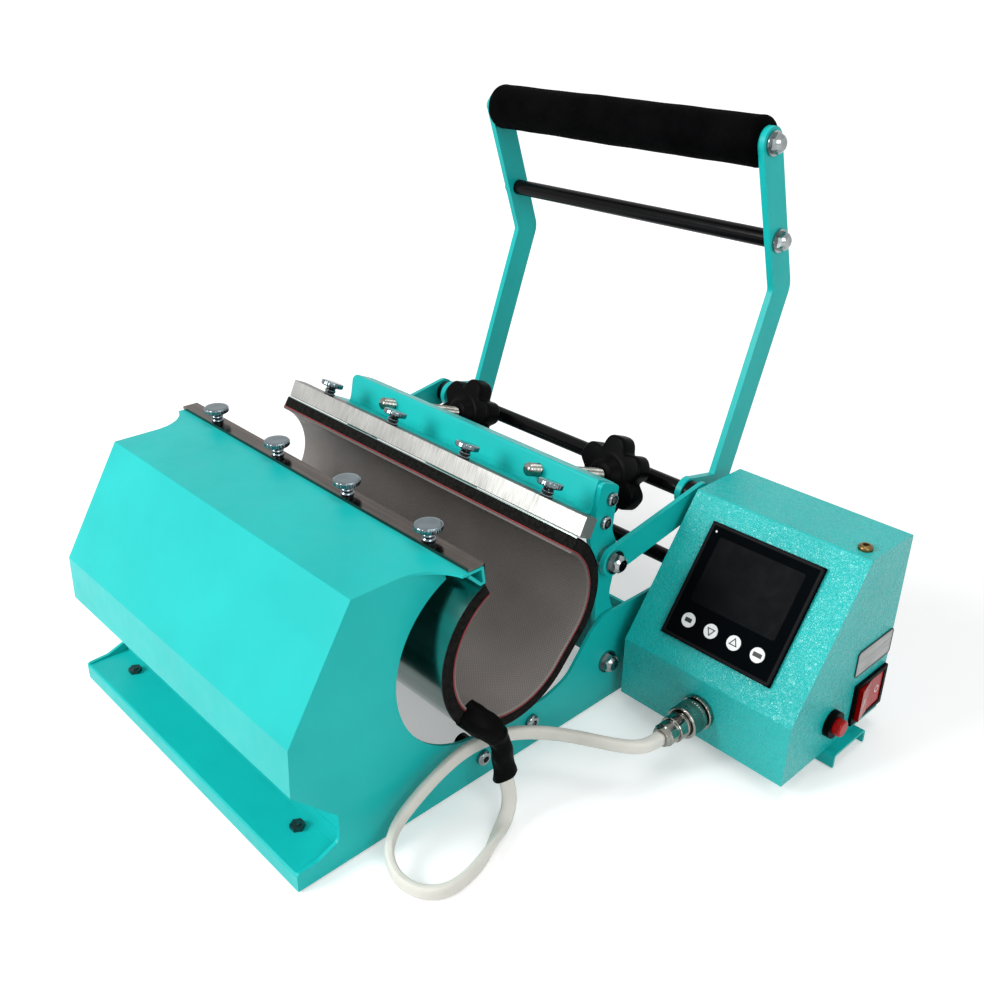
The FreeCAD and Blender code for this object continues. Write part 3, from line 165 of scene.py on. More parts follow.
def makeWorld(s):
    # camera, mirror and glass rays see plain white, all others see the weaker glow
    world = bpy.data.worlds.new("studio")
    world.use_nodes = True
    bpy.context.scene.world = world
    tree = world.node_tree
    tree.nodes.clear()
    rays, seen = seenRays(tree)
    through = combine(tree, "MAXIMUM", seen, rays["Is Transmission Ray"])
    glow = addNode(tree, "Background", {"Color": white, "Strength": s["worldGlow"]})
    plain = addNode(tree, "Background", {"Color": white, "Strength": 1.0})
    pick = addNode(tree, "MixShader", {0: through, 1: glow[0], 2: plain[0]})
    addNode(tree, "OutputWorld", {0: pick[0]})


def makeLamps(s):
    for i, (spot, aim, size, watts) in enumerate(s["lamps"]):
        data = bpy.data.lights.new("softbox%d" % i, "AREA")
        data.size, data.energy = size, watts
        lamp = bpy.data.objects.new("softbox%d" % i, data)
        lamp.location = spot
        away = np.array(spot) - np.array(aim)
        lamp.rotation_euler = (math.atan2(math.hypot(away[0], away[1]), away[2]), 0,
                               math.atan2(away[1], away[0]) + math.pi / 2)
        bpy.context.scene.collection.objects.link(lamp)


def makeFloor(s):
    # the floor's own glow grows with distance from the press, so that it ends in plain white
    half = s["floorSize"] / 2
    mesh = bpy.data.meshes.new("floor")
    mesh.from_pydata([(-half, -half, 0), (half, -half, 0), (half, half, 0), (-half, half, 0)], [],
                     [(0, 1, 2, 3)])
    floor = bpy.data.objects.new("floor", mesh)
    bpy.context.scene.collection.objects.link(floor)
    tree, shader = newMaterial("paleFloor", s["floor"])
    seen = seenRays(tree)[1]
    reach = addNode(tree, "VectorMath", {0: coordinates(tree, "Object")}, operation="LENGTH")
    lift = spread(tree, reach["Value"], *s["lift"], "SMOOTHSTEP")
    feed(tree, shader, {"Emission Strength": combine(tree, "MULTIPLY", seen, lift)})
    mesh.materials.append(bpy.data.materials["paleFloor"])


makeWorld(studio)
makeLamps(studio)
makeFloor(studio)
print("camera and studio ready")


# ---- shared surface effects, as shader groups

groups = {}
mottle = dict(finer=5.3, broadDetail=3, fineDetail=5, tones=(0.32, 0.68), rough=(0.3, 0.7))
skin = dict(detail=2)
hammer = dict(scale=260, detail=2, push=(0.0035, 0.0035, 0.0035), soft=0.6)
brushed = dict(lineDetail=4, blotchScale=45, blotchDetail=3, blotch=0.35, tones=(0.45, 0.9),
               rough=(0.3, 0.7), strength=0.4)
weave = dict(strength=0.6)


def newGroup(name, inputs, outputs):
    # each socket with its size: 1 for a number, 3 for a vector, 4 for a colour
    kinds = {1: "NodeSocketFloat", 3: "NodeSocketVector", 4: "NodeSocketColor"}
    group = groups[name] = bpy.data.node_groups.new(name, "ShaderNodeTree")
    for way, sockets in (("INPUT", inputs), ("OUTPUT", outputs)):
        for label, size in sockets.items():
            group.interface.new_socket(label, in_out=way, socket_type=kinds[size])
    return group, group.nodes.new("NodeGroupInput").outputs, group.nodes.new("NodeGroupOutput")


def noise(tree, where, scale, detail):
    return addNode(tree, "TexNoise", {"Vector": where, "Scale": scale, "Detail": detail})


def bump(tree, height, distance, strength):
    return addNode(tree, "Bump", {"Height": height, "Distance": distance,
                                  "Strength": strength})["Normal"]


def makeMottle(s):
    # two tones and two roughness levels, each spread by its own soft noise
    group, given, out = newGroup("mottle", dict(Colour=4, Second=4, Scale=1, Low=1, High=1),
                                 dict(Colour=4, Roughness=1))
    where = coordinates(group, "Object")
    broad = noise(group, where, given["Scale"], s["broadDetail"])["Fac"]
    finer = combine(group, "MULTIPLY", given["Scale"], s["finer"])
    fine = noise(group, where, finer, s["fineDetail"])["Fac"]
    feed(group, out, {
        "Colour": mixTones(group, spread(group, broad, *s["tones"]), given["Colour"],
                           given["Second"]),
        "Roughness": spread(group, fine, *s["rough"], given["Low"], given["High"])})


def makeSkin(s):
    # fine uneven skin: noise height into a bump
    group, given, out = newGroup("skin", dict(Scale=1, Height=1, Strength=1), dict(Normal=3))
    height = noise(group, coordinates(group, "Object"), given["Scale"], s["detail"])["Fac"]
    feed(group, out, {"Normal": bump(group, height, given["Height"], given["Strength"])})


def makeHammer(s):
    # wrinkled hammer finish: smooth cells, their place pushed about by a noise, into a bump
    group, given, out = newGroup("hammer", dict(Scale=1, Height=1, Strength=1), dict(Normal=3))
    where = coordinates(group, "Object")
    push = noise(group, where, s["scale"], s["detail"])["Color"]
    shift = addNode(group, "VectorMath", {0: push, 1: s["push"], 2: where},
                    operation="MULTIPLY_ADD")[0]
    cells = addNode(group, "TexVoronoi", {"Vector": shift, "Scale": given["Scale"],
                                          "Smoothness": s["soft"]}, feature="SMOOTH_F1")
    feed(group, out, {"Normal": bump(group, cells["Distance"], given["Height"],
                                     given["Strength"])})


def makeBrushed(s):
    # brush lines: a noise stretched along one direction gives tone, roughness and a faint relief
    group, given, out = newGroup(
        "brushed", dict(Stretch=3, Colour=4, Second=4, Low=1, High=1, Height=1),
        dict(Colour=4, Roughness=1, Normal=3))
    where = coordinates(group, "Object")
    stretch = addNode(group, "VectorMath", {0: where, 1: given["Stretch"]}, operation="MULTIPLY")
    lines = noise(group, stretch[0], 1, s["lineDetail"])["Fac"]
    blotch = noise(group, where, s["blotchScale"], s["blotchDetail"])["Fac"]
    both = combine(group, "MULTIPLY_ADD", blotch, s["blotch"], lines)
    feed(group, out, {
        "Colour": mixTones(group, spread(group, both, *s["tones"]), given["Colour"],
                           given["Second"]),
        "Roughness": spread(group, lines, *s["rough"], given["Low"], given["High"]),
        "Normal": bump(group, lines, given["Height"], s["strength"])})


def makeWeave(s):
    # plain weave on the piece's UV in metres: the product of a warp and a weft sine
    group, given, out = newGroup("weave", dict(Threads=1, Height=1), dict(Mask=1, Normal=3))
    split = addNode(group, "SeparateXYZ", {0: coordinates(group, "UV")})
    ridges = []
    for axis in "XY":
        turns = combine(group, "MULTIPLY", split[axis], given["Threads"])
        ridges.append(combine(group, "SINE", combine(group, "MULTIPLY", turns, fullTurn)))
    mask = spread(group, combine(group, "MULTIPLY", *ridges), -1, 1)
    feed(group, out, {"Mask": mask, "Normal": bump(group, mask, given["Height"], s["strength"])})


makeMottle(mottle)
makeSkin(skin)
makeHammer(hammer)
makeBrushed(brushed)
makeWeave(weave)


# ---- materials

def useGroup(tree, name, **inputs):
    return addNode(tree, "Group", inputs, node_tree=groups[name])


def toned(tree, name, first, second, rough, **more):
    return useGroup(tree, name, Colour=(*first, 1), Second=(*second, 1), Low=rough[0],
                    High=rough[1], **more)


def surface(tree, shader, tone, normal, colour=None):
    feed(tree, shader, {"Base Color": colour or tone["Colour"], "Roughness": tone["Roughness"],
                        "Normal": normal})


def paint(name, first, second, rough, relief, specular=0.5, scale=22, effect="skin",
          coat=(0, 0.03)):
    # mottled tone and roughness over a relief, which is a fine skin or the hammer finish
    tree, shader = newMaterial(name, {"Specular IOR Level": specular, "Coat Weight": coat[0],
                                      "Coat Roughness": coat[1]})
    tone = toned(tree, "mottle", first, second, rough, Scale=scale)
    bumps = useGroup(tree, effect, Scale=relief[0], Height=relief[1], Strength=relief[2])
    surface(tree, shader, tone, bumps["Normal"])


paintedShadeMask = (0.75, 0.95)  # how squarely a face has to point along the given normal to take the painted shade tone


def metal(name, first, second, stretch, rough, height, face=None, paintedShadeNormal=None):
    # brushed metal; faces that point along the given normal, told by a dot product, take a dark
    # painted shade tone
    tree, shader = newMaterial(name, {"Metallic": 1.0})
    grain = toned(tree, "brushed", first, second, rough, Stretch=stretch, Height=height)
    colour = grain["Colour"]
    # painted shade laid on the faces that point along the given normal
    if face:
        side = addNode(tree, "VectorMath", {0: coordinates(tree, "Normal"), 1: paintedShadeNormal},
                       operation="DOT_PRODUCT")["Value"]
        colour = mixTones(tree, spread(tree, side, *paintedShadeMask), colour, (*face, 1))
    surface(tree, shader, grain, grain["Normal"], colour)


def cloth(name, first, second, rough, scale, threads, height, shade, paintedHeightShade=None):
    # mottled tone times the weave's mask; the mat's painted shade makes it darker with height above
    # the floor, where less light falls
    tree, shader = newMaterial(name, {"Specular IOR Level": 0.3})
    tone = toned(tree, "mottle", first, second, rough, Scale=scale)
    woven = useGroup(tree, "weave", Threads=threads, Height=height)
    level = spread(tree, woven["Mask"], 0, 1, *shade)
    # painted shade: higher up the mat is darker, as less light reaches in under the hood
    if paintedHeightShade:
        up = addNode(tree, "SeparateXYZ", {0: coordinates(tree, "Object")})["Z"]
        level = combine(tree, "MULTIPLY", level, spread(tree, up, *paintedHeightShade, "SMOOTHSTEP"))
    colour = mixTones(tree, 1, tone["Colour"], level, "MULTIPLY")
    surface(tree, shader, tone, woven["Normal"], colour)


teal = (0.006, 0.450, 0.430), (0.004, 0.410, 0.395)
paint("tealPaint", *teal, (0.34, 0.44), (520, 1e-4, 0.35), 0.17, coat=(0.05, 0.2))
paint("tealHammered", *teal, (0.22, 0.32), (1250, 4.6e-4, 0.75), 0.42, 26, "hammer")

paints = dict(
    # two tones, roughness range, skin scale, height and strength, specular level, mottle scale
    blackRod=((0.0025, 0.0025, 0.003), (0.004, 0.004, 0.0045), (0.16, 0.24), (500, 3e-5, 0.2),
              0.08),
    blackPlastic=((0.0012, 0.0012, 0.0014), (0.002, 0.002, 0.0023), (0.34, 0.46),
                  (900, 6e-5, 0.3), 0.03),
    blackRubber=((0.006, 0.006, 0.006), (0.01, 0.01, 0.01), (0.55, 0.7), (800, 8e-5, 0.4), 0.2),
    gripFoamSkin=((0.001, 0.001, 0.0012), (0.0022, 0.0022, 0.0025), (0.62, 0.8),
                  (1500, 2.2e-4, 0.6), 0.01, 60),
    spongeBlack=((0.0035, 0.0035, 0.0032), (0.012, 0.0118, 0.011), (0.75, 0.95),
                 (1300, 4e-4, 0.8), 0.05, 520),
    redSilicone=((0.22, 0.006, 0.01), (0.13, 0.005, 0.008), (0.42, 0.55), (900, 5e-5, 0.3), 0.5,
                 90),
    redPlastic=((0.42, 0.003, 0.003), (0.3, 0.002, 0.002), (0.18, 0.28), (500, 3e-5, 0.2), 0.18),
    shrinkBlack=((0.0012, 0.0012, 0.0012), (0.002, 0.002, 0.002), (0.36, 0.5), (260, 6e-4, 0.6),
                 0.03),
    panelBlack=((0.0012, 0.0018, 0.0024), (0.0016, 0.0024, 0.0032), (0.5, 0.6), (300, 1e-5, 0.1),
                0.005),
    panelRimBlack=((0.004, 0.004, 0.005), (0.006, 0.006, 0.007), (0.4, 0.5), (900, 3e-5, 0.2),
                   0.05),
    displayGlass=((0.0009, 0.0014, 0.0022), (0.0012, 0.0018, 0.0026), (0.4, 0.5),
                  (200, 4e-6, 0.05), 0.03),
    keyWhite=((0.76, 0.78, 0.78), (0.66, 0.68, 0.69), (0.38, 0.5), (900, 4e-5, 0.3), 0.5, 120),
    inkBlack=((0.006, 0.006, 0.007), (0.01, 0.01, 0.01), (0.5, 0.6), (900, 2e-5, 0.2)),
    inkWhite=((0.75, 0.75, 0.75), (0.65, 0.65, 0.65), (0.5, 0.6), (900, 2e-5, 0.2)),
    boardGreen=((0.01, 0.09, 0.035), (0.008, 0.07, 0.03), (0.35, 0.5), (600, 1e-4, 0.4)),
)
metals = dict(
    # two tones, brush stretch, roughness range, relief height, and a painted shade tone with the
    # normal of the faces it darkens
    # the bar's face under the thumbscrews is painted dark brown-grey, a painted reflection of dark
    # surroundings
    barSteel=((0.5, 0.5, 0.48), (0.2, 0.2, 0.19), (2100, 70, 70), (0.3, 0.46), 4e-5,
              (0.085, 0.072, 0.062), (0, 0.438, 0.899)),
    stripSteel=((0.13, 0.108, 0.094), (0.055, 0.046, 0.041), (14, 900, 900), (0.1, 0.18), 3e-5),
    zincPlate=((0.37, 0.4, 0.4), (0.17, 0.19, 0.2), (160, 160, 220), (0.1, 0.2), 4e-6),
    headSteel=((0.19, 0.23, 0.25), (0.12, 0.155, 0.17), (90, 90, 120), (0.09, 0.15), 3e-6),
    nickelPlate=((0.36, 0.36, 0.33), (0.16, 0.16, 0.14), (120, 120, 120), (0.07, 0.14), 4e-6),
    darkScrew=((0.1, 0.12, 0.12), (0.05, 0.06, 0.06), (500, 500, 500), (0.3, 0.4), 1e-5),
    brassPlate=((0.22, 0.145, 0.055), (0.13, 0.085, 0.032), (600, 600, 600), (0.25, 0.38), 1e-5),
    plateSilver=((0.42, 0.43, 0.42), (0.28, 0.29, 0.28), (900, 60, 900), (0.36, 0.5), 3e-5),
    # dark gloss sheet with faint roll lines along the heater; its end that faces along x is painted
    # near black, a painted shade
    shellSteel=((0.34, 0.43, 0.41), (0.22, 0.3, 0.28), (3, 90, 90), (0.13, 0.2), 2e-5,
                (0.012, 0.014, 0.014), (1, 0, 0)),
)
cloths = dict(
    # two tones, roughness range, mottle scale, threads in a metre, relief height, shade range, and
    # for the mat its painted shade: from and to a height in metres, and the painted shade level
    # there
    cableBraid=((0.73, 0.715, 0.66), (0.65, 0.64, 0.58), (0.5, 0.62), 40, 1400, 9e-5,
                (0.93, 1.03)),
    # painted shade on the mat: darker from 62 to 125 mm up, where less light falls
    matCloth=((0.255, 0.235, 0.22), (0.205, 0.186, 0.173), (0.42, 0.56), 18, 520, 2e-4,
              (0.66, 1.16), (0.062, 0.125, 1, 0.46)),
)
for make, table in ((paint, paints), (metal, metals), (cloth, cloths)):
    for name, row in table.items():
        make(name, *row)

thumbNames = ["%s_thumbscrew_%d" % (row, i) for row in ("front", "rear") for i in range(1, 5)]
worn = dict(
    tealPaint="base_plate front_hood side_plate_left side_plate_right rear_cross_plate "
              "support_channel jaw_channel jaw_bracket_left jaw_bracket_right link_left "
              "link_right handle_arm_left handle_arm_right",
    tealHammered="box_shell box_floor",
    blackRod="frame_rods link_rod spacer_rod",
    zincPlate="frame_bolts pivot_bolts jaw_screws link_bolts handle_bolts grip_tube "
              + " ".join(thumbNames),
    nickelPlate="cable_socket cable_plug plug_ring",
    darkScrew="foot_screws",
    brassPlate="box_screws",
    barSteel="rear_clamp_bar",
    stripSteel="front_clamp_strip",
    blackRubber="rubber_feet",
    panelBlack="controller",
    keyWhite="panel_key_1 panel_key_2 panel_key_3 panel_key_4",
    blackPlastic="switch_housing reset_breaker power_inlet star_knob_left star_knob_right",
    redPlastic="rocker reset_button",
    boardGreen="circuit_board",
)
for look, names in worn.items():
    for name in names.split():
        nodes[name].data.materials.clear()
        nodes[name].data.materials.append(bpy.data.materials[look])
print("materials on the packed nodes")


# ---- shapes from rings of points

def loft(rings, closed=False):
    # quads over rings (rows, ring points, 3); closed joins the last ring to the first, and
    # otherwise a fan from a middle point closes each end
    rows, count = rings.shape[:2]
    r, c = np.meshgrid(np.arange(rows - 1 + closed), np.arange(count), indexing="ij")
    r, c = r.ravel(), c.ravel()
    below, beside = (r + 1) % rows, (c + 1) % count
    faces = np.stack([r * count + c, r * count + beside, below * count + beside,
                      below * count + c], 1).tolist()
    points = rings.reshape(-1, 3)
    if closed:
        return points, faces
    a, last, middle = np.arange(count), (rows - 1) * count, np.full(count, rows * count)
    b = (a + 1) % count
    faces += np.stack([middle, a, b], 1).tolist()
    faces += np.stack([last + b, last + a, middle + 1], 1).tolist()
    return np.vstack([points, rings[0].mean(0), rings[-1].mean(0)]), faces


def circle(count):
    return np.linspace(0, fullTurn, count, endpoint=False)


def quarterTurn(count):
    return np.linspace(0, math.pi / 2, count)


def onCircle(angles):
    return np.stack([np.cos(angles), np.sin(angles)], 1)


def roundOf(turn, side, other):
    # unit circle in the plane of two directions, which may be one pair or one for each row
    return np.cos(turn)[:, None] * side[..., None, :] + np.sin(turn)[:, None] * other[..., None, :]


def unit(vectors):
    return vectors / np.linalg.norm(vectors, axis=-1, keepdims=True)


def directions(path):
    return unit(np.gradient(path, axis=0))


def addedUp(steps):
    # running total, from nought
    return np.concatenate([[0], np.cumsum(steps)])


def axisFrame(axis, steep=0.9):
    # the axis and two directions square to it, the first one level unless the axis is steep
    axis = unit(np.asarray(axis, float))
    side = unit(np.cross(axis, [0, 0, 1] if abs(axis[2]) < steep else [1, 0, 0]))
    return axis, side, np.cross(axis, side)


def lathe(profile, start, axis, count, closed=False, wobble=None):
    # profile is (along, radius) from the start point along the axis, turned through a full circle
    axis, side, other = axisFrame(axis)
    turn = circle(count)
    along, radius = np.asarray(profile, float).T
    reach = np.repeat(radius[:, None], count, 1)
    if wobble:
        reach = wobble(along[:, None], reach, turn)
    rings = (np.asarray(start, float) + along[:, None, None] * axis
             + reach[:, :, None] * roundOf(turn, side, other))
    return loft(rings, closed)


def bushing(low, high, outer, edge, corner, middle, bore, setIn):
    # closed profile of (along, radius): rounded end, the middle rows, rounded end, bore
    quarter = quarterTurn(corner)[::-1]
    left = np.stack([low + edge * (1 - np.sin(quarter)), outer - edge * (1 - np.cos(quarter))], 1)
    right = np.stack([low + high - left[::-1, 0], left[::-1, 1]], 1)
    return np.vstack([left, middle[1:-1], right, [[high - setIn, bore], [low + setIn, bore]]])


def ripple(angle):
    # raised cosine, from 0 to 1
    return 0.5 + 0.5 * np.cos(angle)


def between(value, low, high):
    return (value > low) & (value < high)


joinWithin = 1e-6  # metres


def addPiece(name, shape, look, body, slotName, stands=None, crease=None, uv=None, smooth=True):
    # shape is points in press coordinates, mm, and faces; a piece given no body is left unattached;
    # edges past the crease angle in degrees stay sharp
    points, faces = shape
    mesh = bpy.data.meshes.new(name)
    mesh.from_pydata(place(points).tolist(), [], faces)
    mesh.materials.append(bpy.data.materials[look])
    if uv is not None:
        layer = mesh.uv_layers.new(name="UVMap")
        corners = np.empty(len(mesh.loops), int)
        mesh.loops.foreach_get("vertex_index", corners)
        layer.data.foreach_set("uv", uv[corners].astype(np.float32).ravel())
    if smooth:
        mesh.polygons.foreach_set("use_smooth", np.ones(len(mesh.polygons), bool))
    mesh.validate()
    mesh.update()
    piece = bpy.data.objects.new(name, mesh)
    bpy.context.scene.collection.objects.link(piece)
    if body:
        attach(piece, body)
    # joined at shared points and turned to face outwards
    bm = bmesh.new()
    bm.from_mesh(mesh)
    bmesh.ops.remove_doubles(bm, verts=bm.verts, dist=joinWithin)
    bmesh.ops.recalc_face_normals(bm, faces=bm.faces)
    bm.to_mesh(mesh)
    bm.free()
    if crease:
        mesh.set_sharp_from_angle(angle=math.radians(crease))
    if stands:
        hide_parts(stands)
    return piece


# ---- heater: sponge, mat, shell and red edge

heater = dict(
    frontCentre=(-41.5, 94.2), frontRadius=49, frontEnd=116,
    rearCentre=(-21, 105), rearRadius=41, rearEnd=57,
    halfLength=132, step=1.6, crease=50,
    shell=0.6, sponge=6.6, mat=1.8,
    spongeEdge=0.9, matEdge=0.7,
    bendStart=(0, 13, 7.5), bendEnd=(0, 58.9, 34),
)


def heaterLine(s):
    # front arc, straight tangent, rear arc: points on the outer face and their outward normals
    front, rear = np.array(s["frontCentre"]), np.array(s["rearCentre"])
    step = rear - front
    opening = math.acos((s["frontRadius"] - s["rearRadius"]) / np.hypot(*step))
    tangent = math.atan2(step[1], step[0]) - opening
    a0, a1, b1 = math.radians(s["frontEnd"]), tangent + fullTurn, math.radians(s["rearEnd"])
    frontAngles = np.linspace(a0, a1, int(abs(a1 - a0) * s["frontRadius"] / s["step"]))
    rearAngles = np.linspace(tangent, b1, int(abs(b1 - tangent) * s["rearRadius"] / s["step"]))
    frontArc = front + s["frontRadius"] * onCircle(frontAngles)
    rearArc = rear + s["rearRadius"] * onCircle(rearAngles)
    count = max(3, int(np.hypot(*(rearArc[0] - frontArc[-1])) / s["step"]))
    share = np.linspace(0, 1, count)[1:-1, None]
    straight = frontArc[-1] * (1 - share) + rearArc[0] * share
    angles = np.concatenate([frontAngles, np.full(len(straight), tangent), rearAngles])
    return np.vstack([frontArc, straight, rearArc]), onCircle(angles)


heaterPath, heaterNormal = heaterLine(heater)
heaterRun = addedUp(np.hypot(*np.diff(heaterPath, axis=0).T))


def roundedSection(half, outer, inner, radius, across=14, corner=5):
    # closed loop of x and depth: a flat strip with rounded edges, from its outer to its inner face
    sine, cosine = radius * np.sin(quarterTurn(corner)), radius * np.cos(quarterTurn(corner))
    end, high, low = half - radius, outer + radius, inner - radius
    flat = np.linspace(-end, end, across)
    return np.hstack([(flat, np.full(across, outer)), ((end + sine)[1:], (high - cosine)[1:]),
                      (end + cosine, low + sine), (flat[::-1][1:], np.full(across - 1, inner)),
                      ((-end - sine)[1:], (low + cosine)[1:]),
                      ((-end - cosine)[:-1], (high - sine)[:-1])])


def heaterLayer(name, outer, thickness, radius, *rest):
    # each section point lies its depth inwards of the heater's line; UV is in metres
    x, depth = roundedSection(heater["halfLength"], outer, outer + thickness, radius)
    flat = heaterPath[:, None, :] - heaterNormal[:, None, :] * depth[:, None]
    rings = np.concatenate([np.broadcast_to(x[:, None], (*flat.shape[:2], 1)), flat], 2)
    uv = np.stack(np.broadcast_arrays(x, heaterRun[:, None]), 2).reshape(-1, 2)
    uv = np.vstack([uv, [[0, 0], [0, heaterRun[-1]]]]) * millimetre
    return addPiece(name, loft(rings), *rest, crease=heater["crease"], uv=uv)


shell = dict(
    fold=[(-74.4, 149.82), (-71, 149.82), (-66, 149.82), (-63.6, 149.8), (-63.12, 149.3),
          (-63.1, 147), (-63.1, 143), (-63.1, 139.6)],
    setIn=0.5, across=12, crease=40,
)


def shellPiece(s):
    # dark sheet: folded over the hood lip, down behind its hem, then round the heater
    half, across = heater["shell"] / 2, s["across"]
    line = np.vstack([s["fold"], heaterPath - heaterNormal * half])
    along = directions(line)
    normal = np.stack([-along[:, 1], along[:, 0]], 1)
    x = np.linspace(s["setIn"] - heater["halfLength"], heater["halfLength"] - s["setIn"], across)
    rings = np.zeros((len(line), 2 * across, 3))
    rings[:, :, 0] = np.concatenate([x, x[::-1]])
    rings[:, :across, 1:] = (line + normal * half)[:, None]
    rings[:, across:, 1:] = (line - normal * half)[:, None]
    return addPiece("heaterShell", loft(rings), "shellSteel", None, "gloss_shell", "heater_shell",
                    s["crease"])


piping = dict(sink=0.15, setIn=0.1, across=60, radius=0.45, sides=8)


def pipingPiece(s):
    # thin red bead round the whole edge of the mat, where it meets the sponge
    half, across = heater["halfLength"] - s["setIn"], s["across"]
    line = heaterPath - heaterNormal * (heater["shell"] + heater["sponge"] + s["sink"])
    x = np.linspace(-half, half, across)
    first, last = np.tile(line[0], (across, 1)), np.tile(line[-1], (across, 1))
    path = np.vstack([np.insert(line, 0, half, 1), np.insert(last, 0, x[::-1], 1)[1:-1],
                      np.insert(line[::-1], 0, -half, 1), np.insert(first, 0, x, 1)[1:-1]])
    along = unit(np.roll(path, -1, 0) - np.roll(path, 1, 0))
    inward = np.zeros_like(path)
    inward[:, 1:] = np.array(heater["frontCentre"]) - path[:, 1:]
    side = unit(np.cross(along, inward))
    bead = s["radius"] * roundOf(circle(s["sides"]), side, np.cross(along, side))
    return addPiece("matPiping", loft(path[:, None, :] + bead, closed=True), "redSilicone", None,
                    "red_plastic")


heaterPieces = [
    heaterLayer("heaterSponge", heater["shell"], heater["sponge"], heater["spongeEdge"],
                "spongeBlack", None, "heater_foam", "heater_foam"),
    heaterLayer("heatingMat", heater["shell"] + heater["sponge"], heater["mat"],
                heater["matEdge"], "matCloth", None, "heater_mat", "heating_mat"),
    shellPiece(shell),
    pipingPiece(piping),
]
for piece in heaterPieces:
    tuple(place(heater["bendStart"]))
    tuple(place(heater["bendEnd"]))
    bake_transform(piece)
print("heater layers made")


# ---- foam grip

grip = dict(place=(170.3, 314), half=105.8, radius=14.3, edge=4.2, corner=9, rows=70, across=56,
            waist=0.12, waistPitch=23, bore=6.05, boreSetIn=0.4, sink=0.1, skinDepth=1,
            ripples=((0.09, 11, 2), (0.07, 5.3, -3)), crease=60)


def gripPiece(s):
    # the outside has a faint cosine waist and sine ripples along and round it
    body = np.linspace(s["edge"] - s["half"], s["half"] - s["edge"], s["rows"])
    outside = np.stack([body, s["radius"] - s["waist"] * (1 - np.cos(body / s["waistPitch"]))], 1)
    profile = bushing(-s["half"], s["half"], s["radius"], s["edge"], s["corner"], outside,
                      s["bore"], s["boreSetIn"])

    def wobble(along, reach, turn):
        soft = sum(size * np.sin(along / pitch + lobes * turn)
                   for size, pitch, lobes in s["ripples"])
        return reach + soft * (reach > s["radius"] - s["skinDepth"]) - s["sink"]

    shape = lathe(profile, (0, *s["place"]), (1, 0, 0), s["across"], True, wobble)
    return addPiece("gripFoam", shape, "gripFoamSkin", "handle", "black_foam", "grip_foam",
                    s["crease"])


gripFoam = gripPiece(grip)
print("grip made")


# ---- heater cable, its shrink sleeve, plug and locking ring

cableRoute = dict(
    sleeve=[(128.5, -73.2, 66.4), (134.5, -71.8, 64.8), (140.5, -67.3, 60.5), (143.6, -62.6, 52),
            (144.8, -61.6, 40.5), (145.6, -60.6, 28.5)],
    loop=[(146.7, -58.6, 18.4), (148.6, -60.2, 10.5), (151, -66, 5.2), (154.5, -74.5, 4),
          (160.2, -86.5, 4), (164.4, -100.5, 4), (165, -116.2, 4), (157.2, -126.9, 4.2),
          (144.5, -131, 6.2), (131.8, -126.9, 10.5), (124.6, -116.2, 16.2),
          (123.2, -101.5, 23.8), (122.7, -85.5, 30.8), (122.5, -68.5, 35),
          (123.2, -51.5, 34.4), (126.2, -36.5, 31.4), (132.8, -24.2, 29),
          (143.4, -14.5, 28.2), (155.6, -6.8, 28), (167, -0.5, 28), (175.5, 5.7, 28),
          (180, 13.5, 28), (180, 22, 28)],
    steps=10, order=3,
)


def routePoints(s):
    # points along the smooth line through the route, in press coordinates, mm
    curve = bpy.data.curves.new("route", "CURVE")
    curve.dimensions = "3D"
    curve.resolution_u = s["steps"]
    spline = curve.splines.new("NURBS")
    at = place(s["sleeve"] + s["loop"])
    spline.points.add(len(at) - 1)
    spline.points.foreach_set("co", np.column_stack([at, np.ones(len(at))]).ravel())
    spline.order_u = s["order"]
    spline.use_endpoint_u = True
    helper = bpy.data.objects.new("route", curve)
    bpy.context.scene.collection.objects.link(helper)
    bpy.context.view_layer.update()
    mesh = bpy.data.meshes.new_from_object(helper)
    found = np.empty(len(mesh.vertices) * 3)
    mesh.vertices.foreach_get("co", found)
    bpy.data.objects.remove(helper)
    bpy.data.curves.remove(curve)
    bpy.data.meshes.remove(mesh)
    return found.reshape(-1, 3) / millimetre + pressOrigin


def runLength(path):
    return addedUp(np.linalg.norm(np.diff(path, axis=0), axis=1))


def squareTo(along, lean):
    # the part of a direction that is square to the path, at unit length
    return unit(lean - (lean * along).sum(1)[:, None] * along)


def eased(value, low, high):
    # smoothstep from low to high: three times t squared less twice t cubed
    t = np.clip((value - low) / (high - low), 0, 1)
    return t * t * (3 - 2 * t)


def sectionRings(centre, w, wide, h, thin):
    return centre + w[:, :, None] * wide[:, None, :] + h[:, :, None] * thin[:, None, :]


cablePath = routePoints(cableRoute)
flatCord = dict(halfWide=3.9, halfThin=2.35, squareness=3.2, across=28, turnFrom=62, turnTo=112,
                facing=(0.688, 0.726, 0), upright=(0, 0, 1), plugFrom=22, plugTo=4,
                narrower=0.03, thicker=0.45, ripples=((0.02, 13, 0), (0.015, 5.1, 1)),
                braid=0.00071)


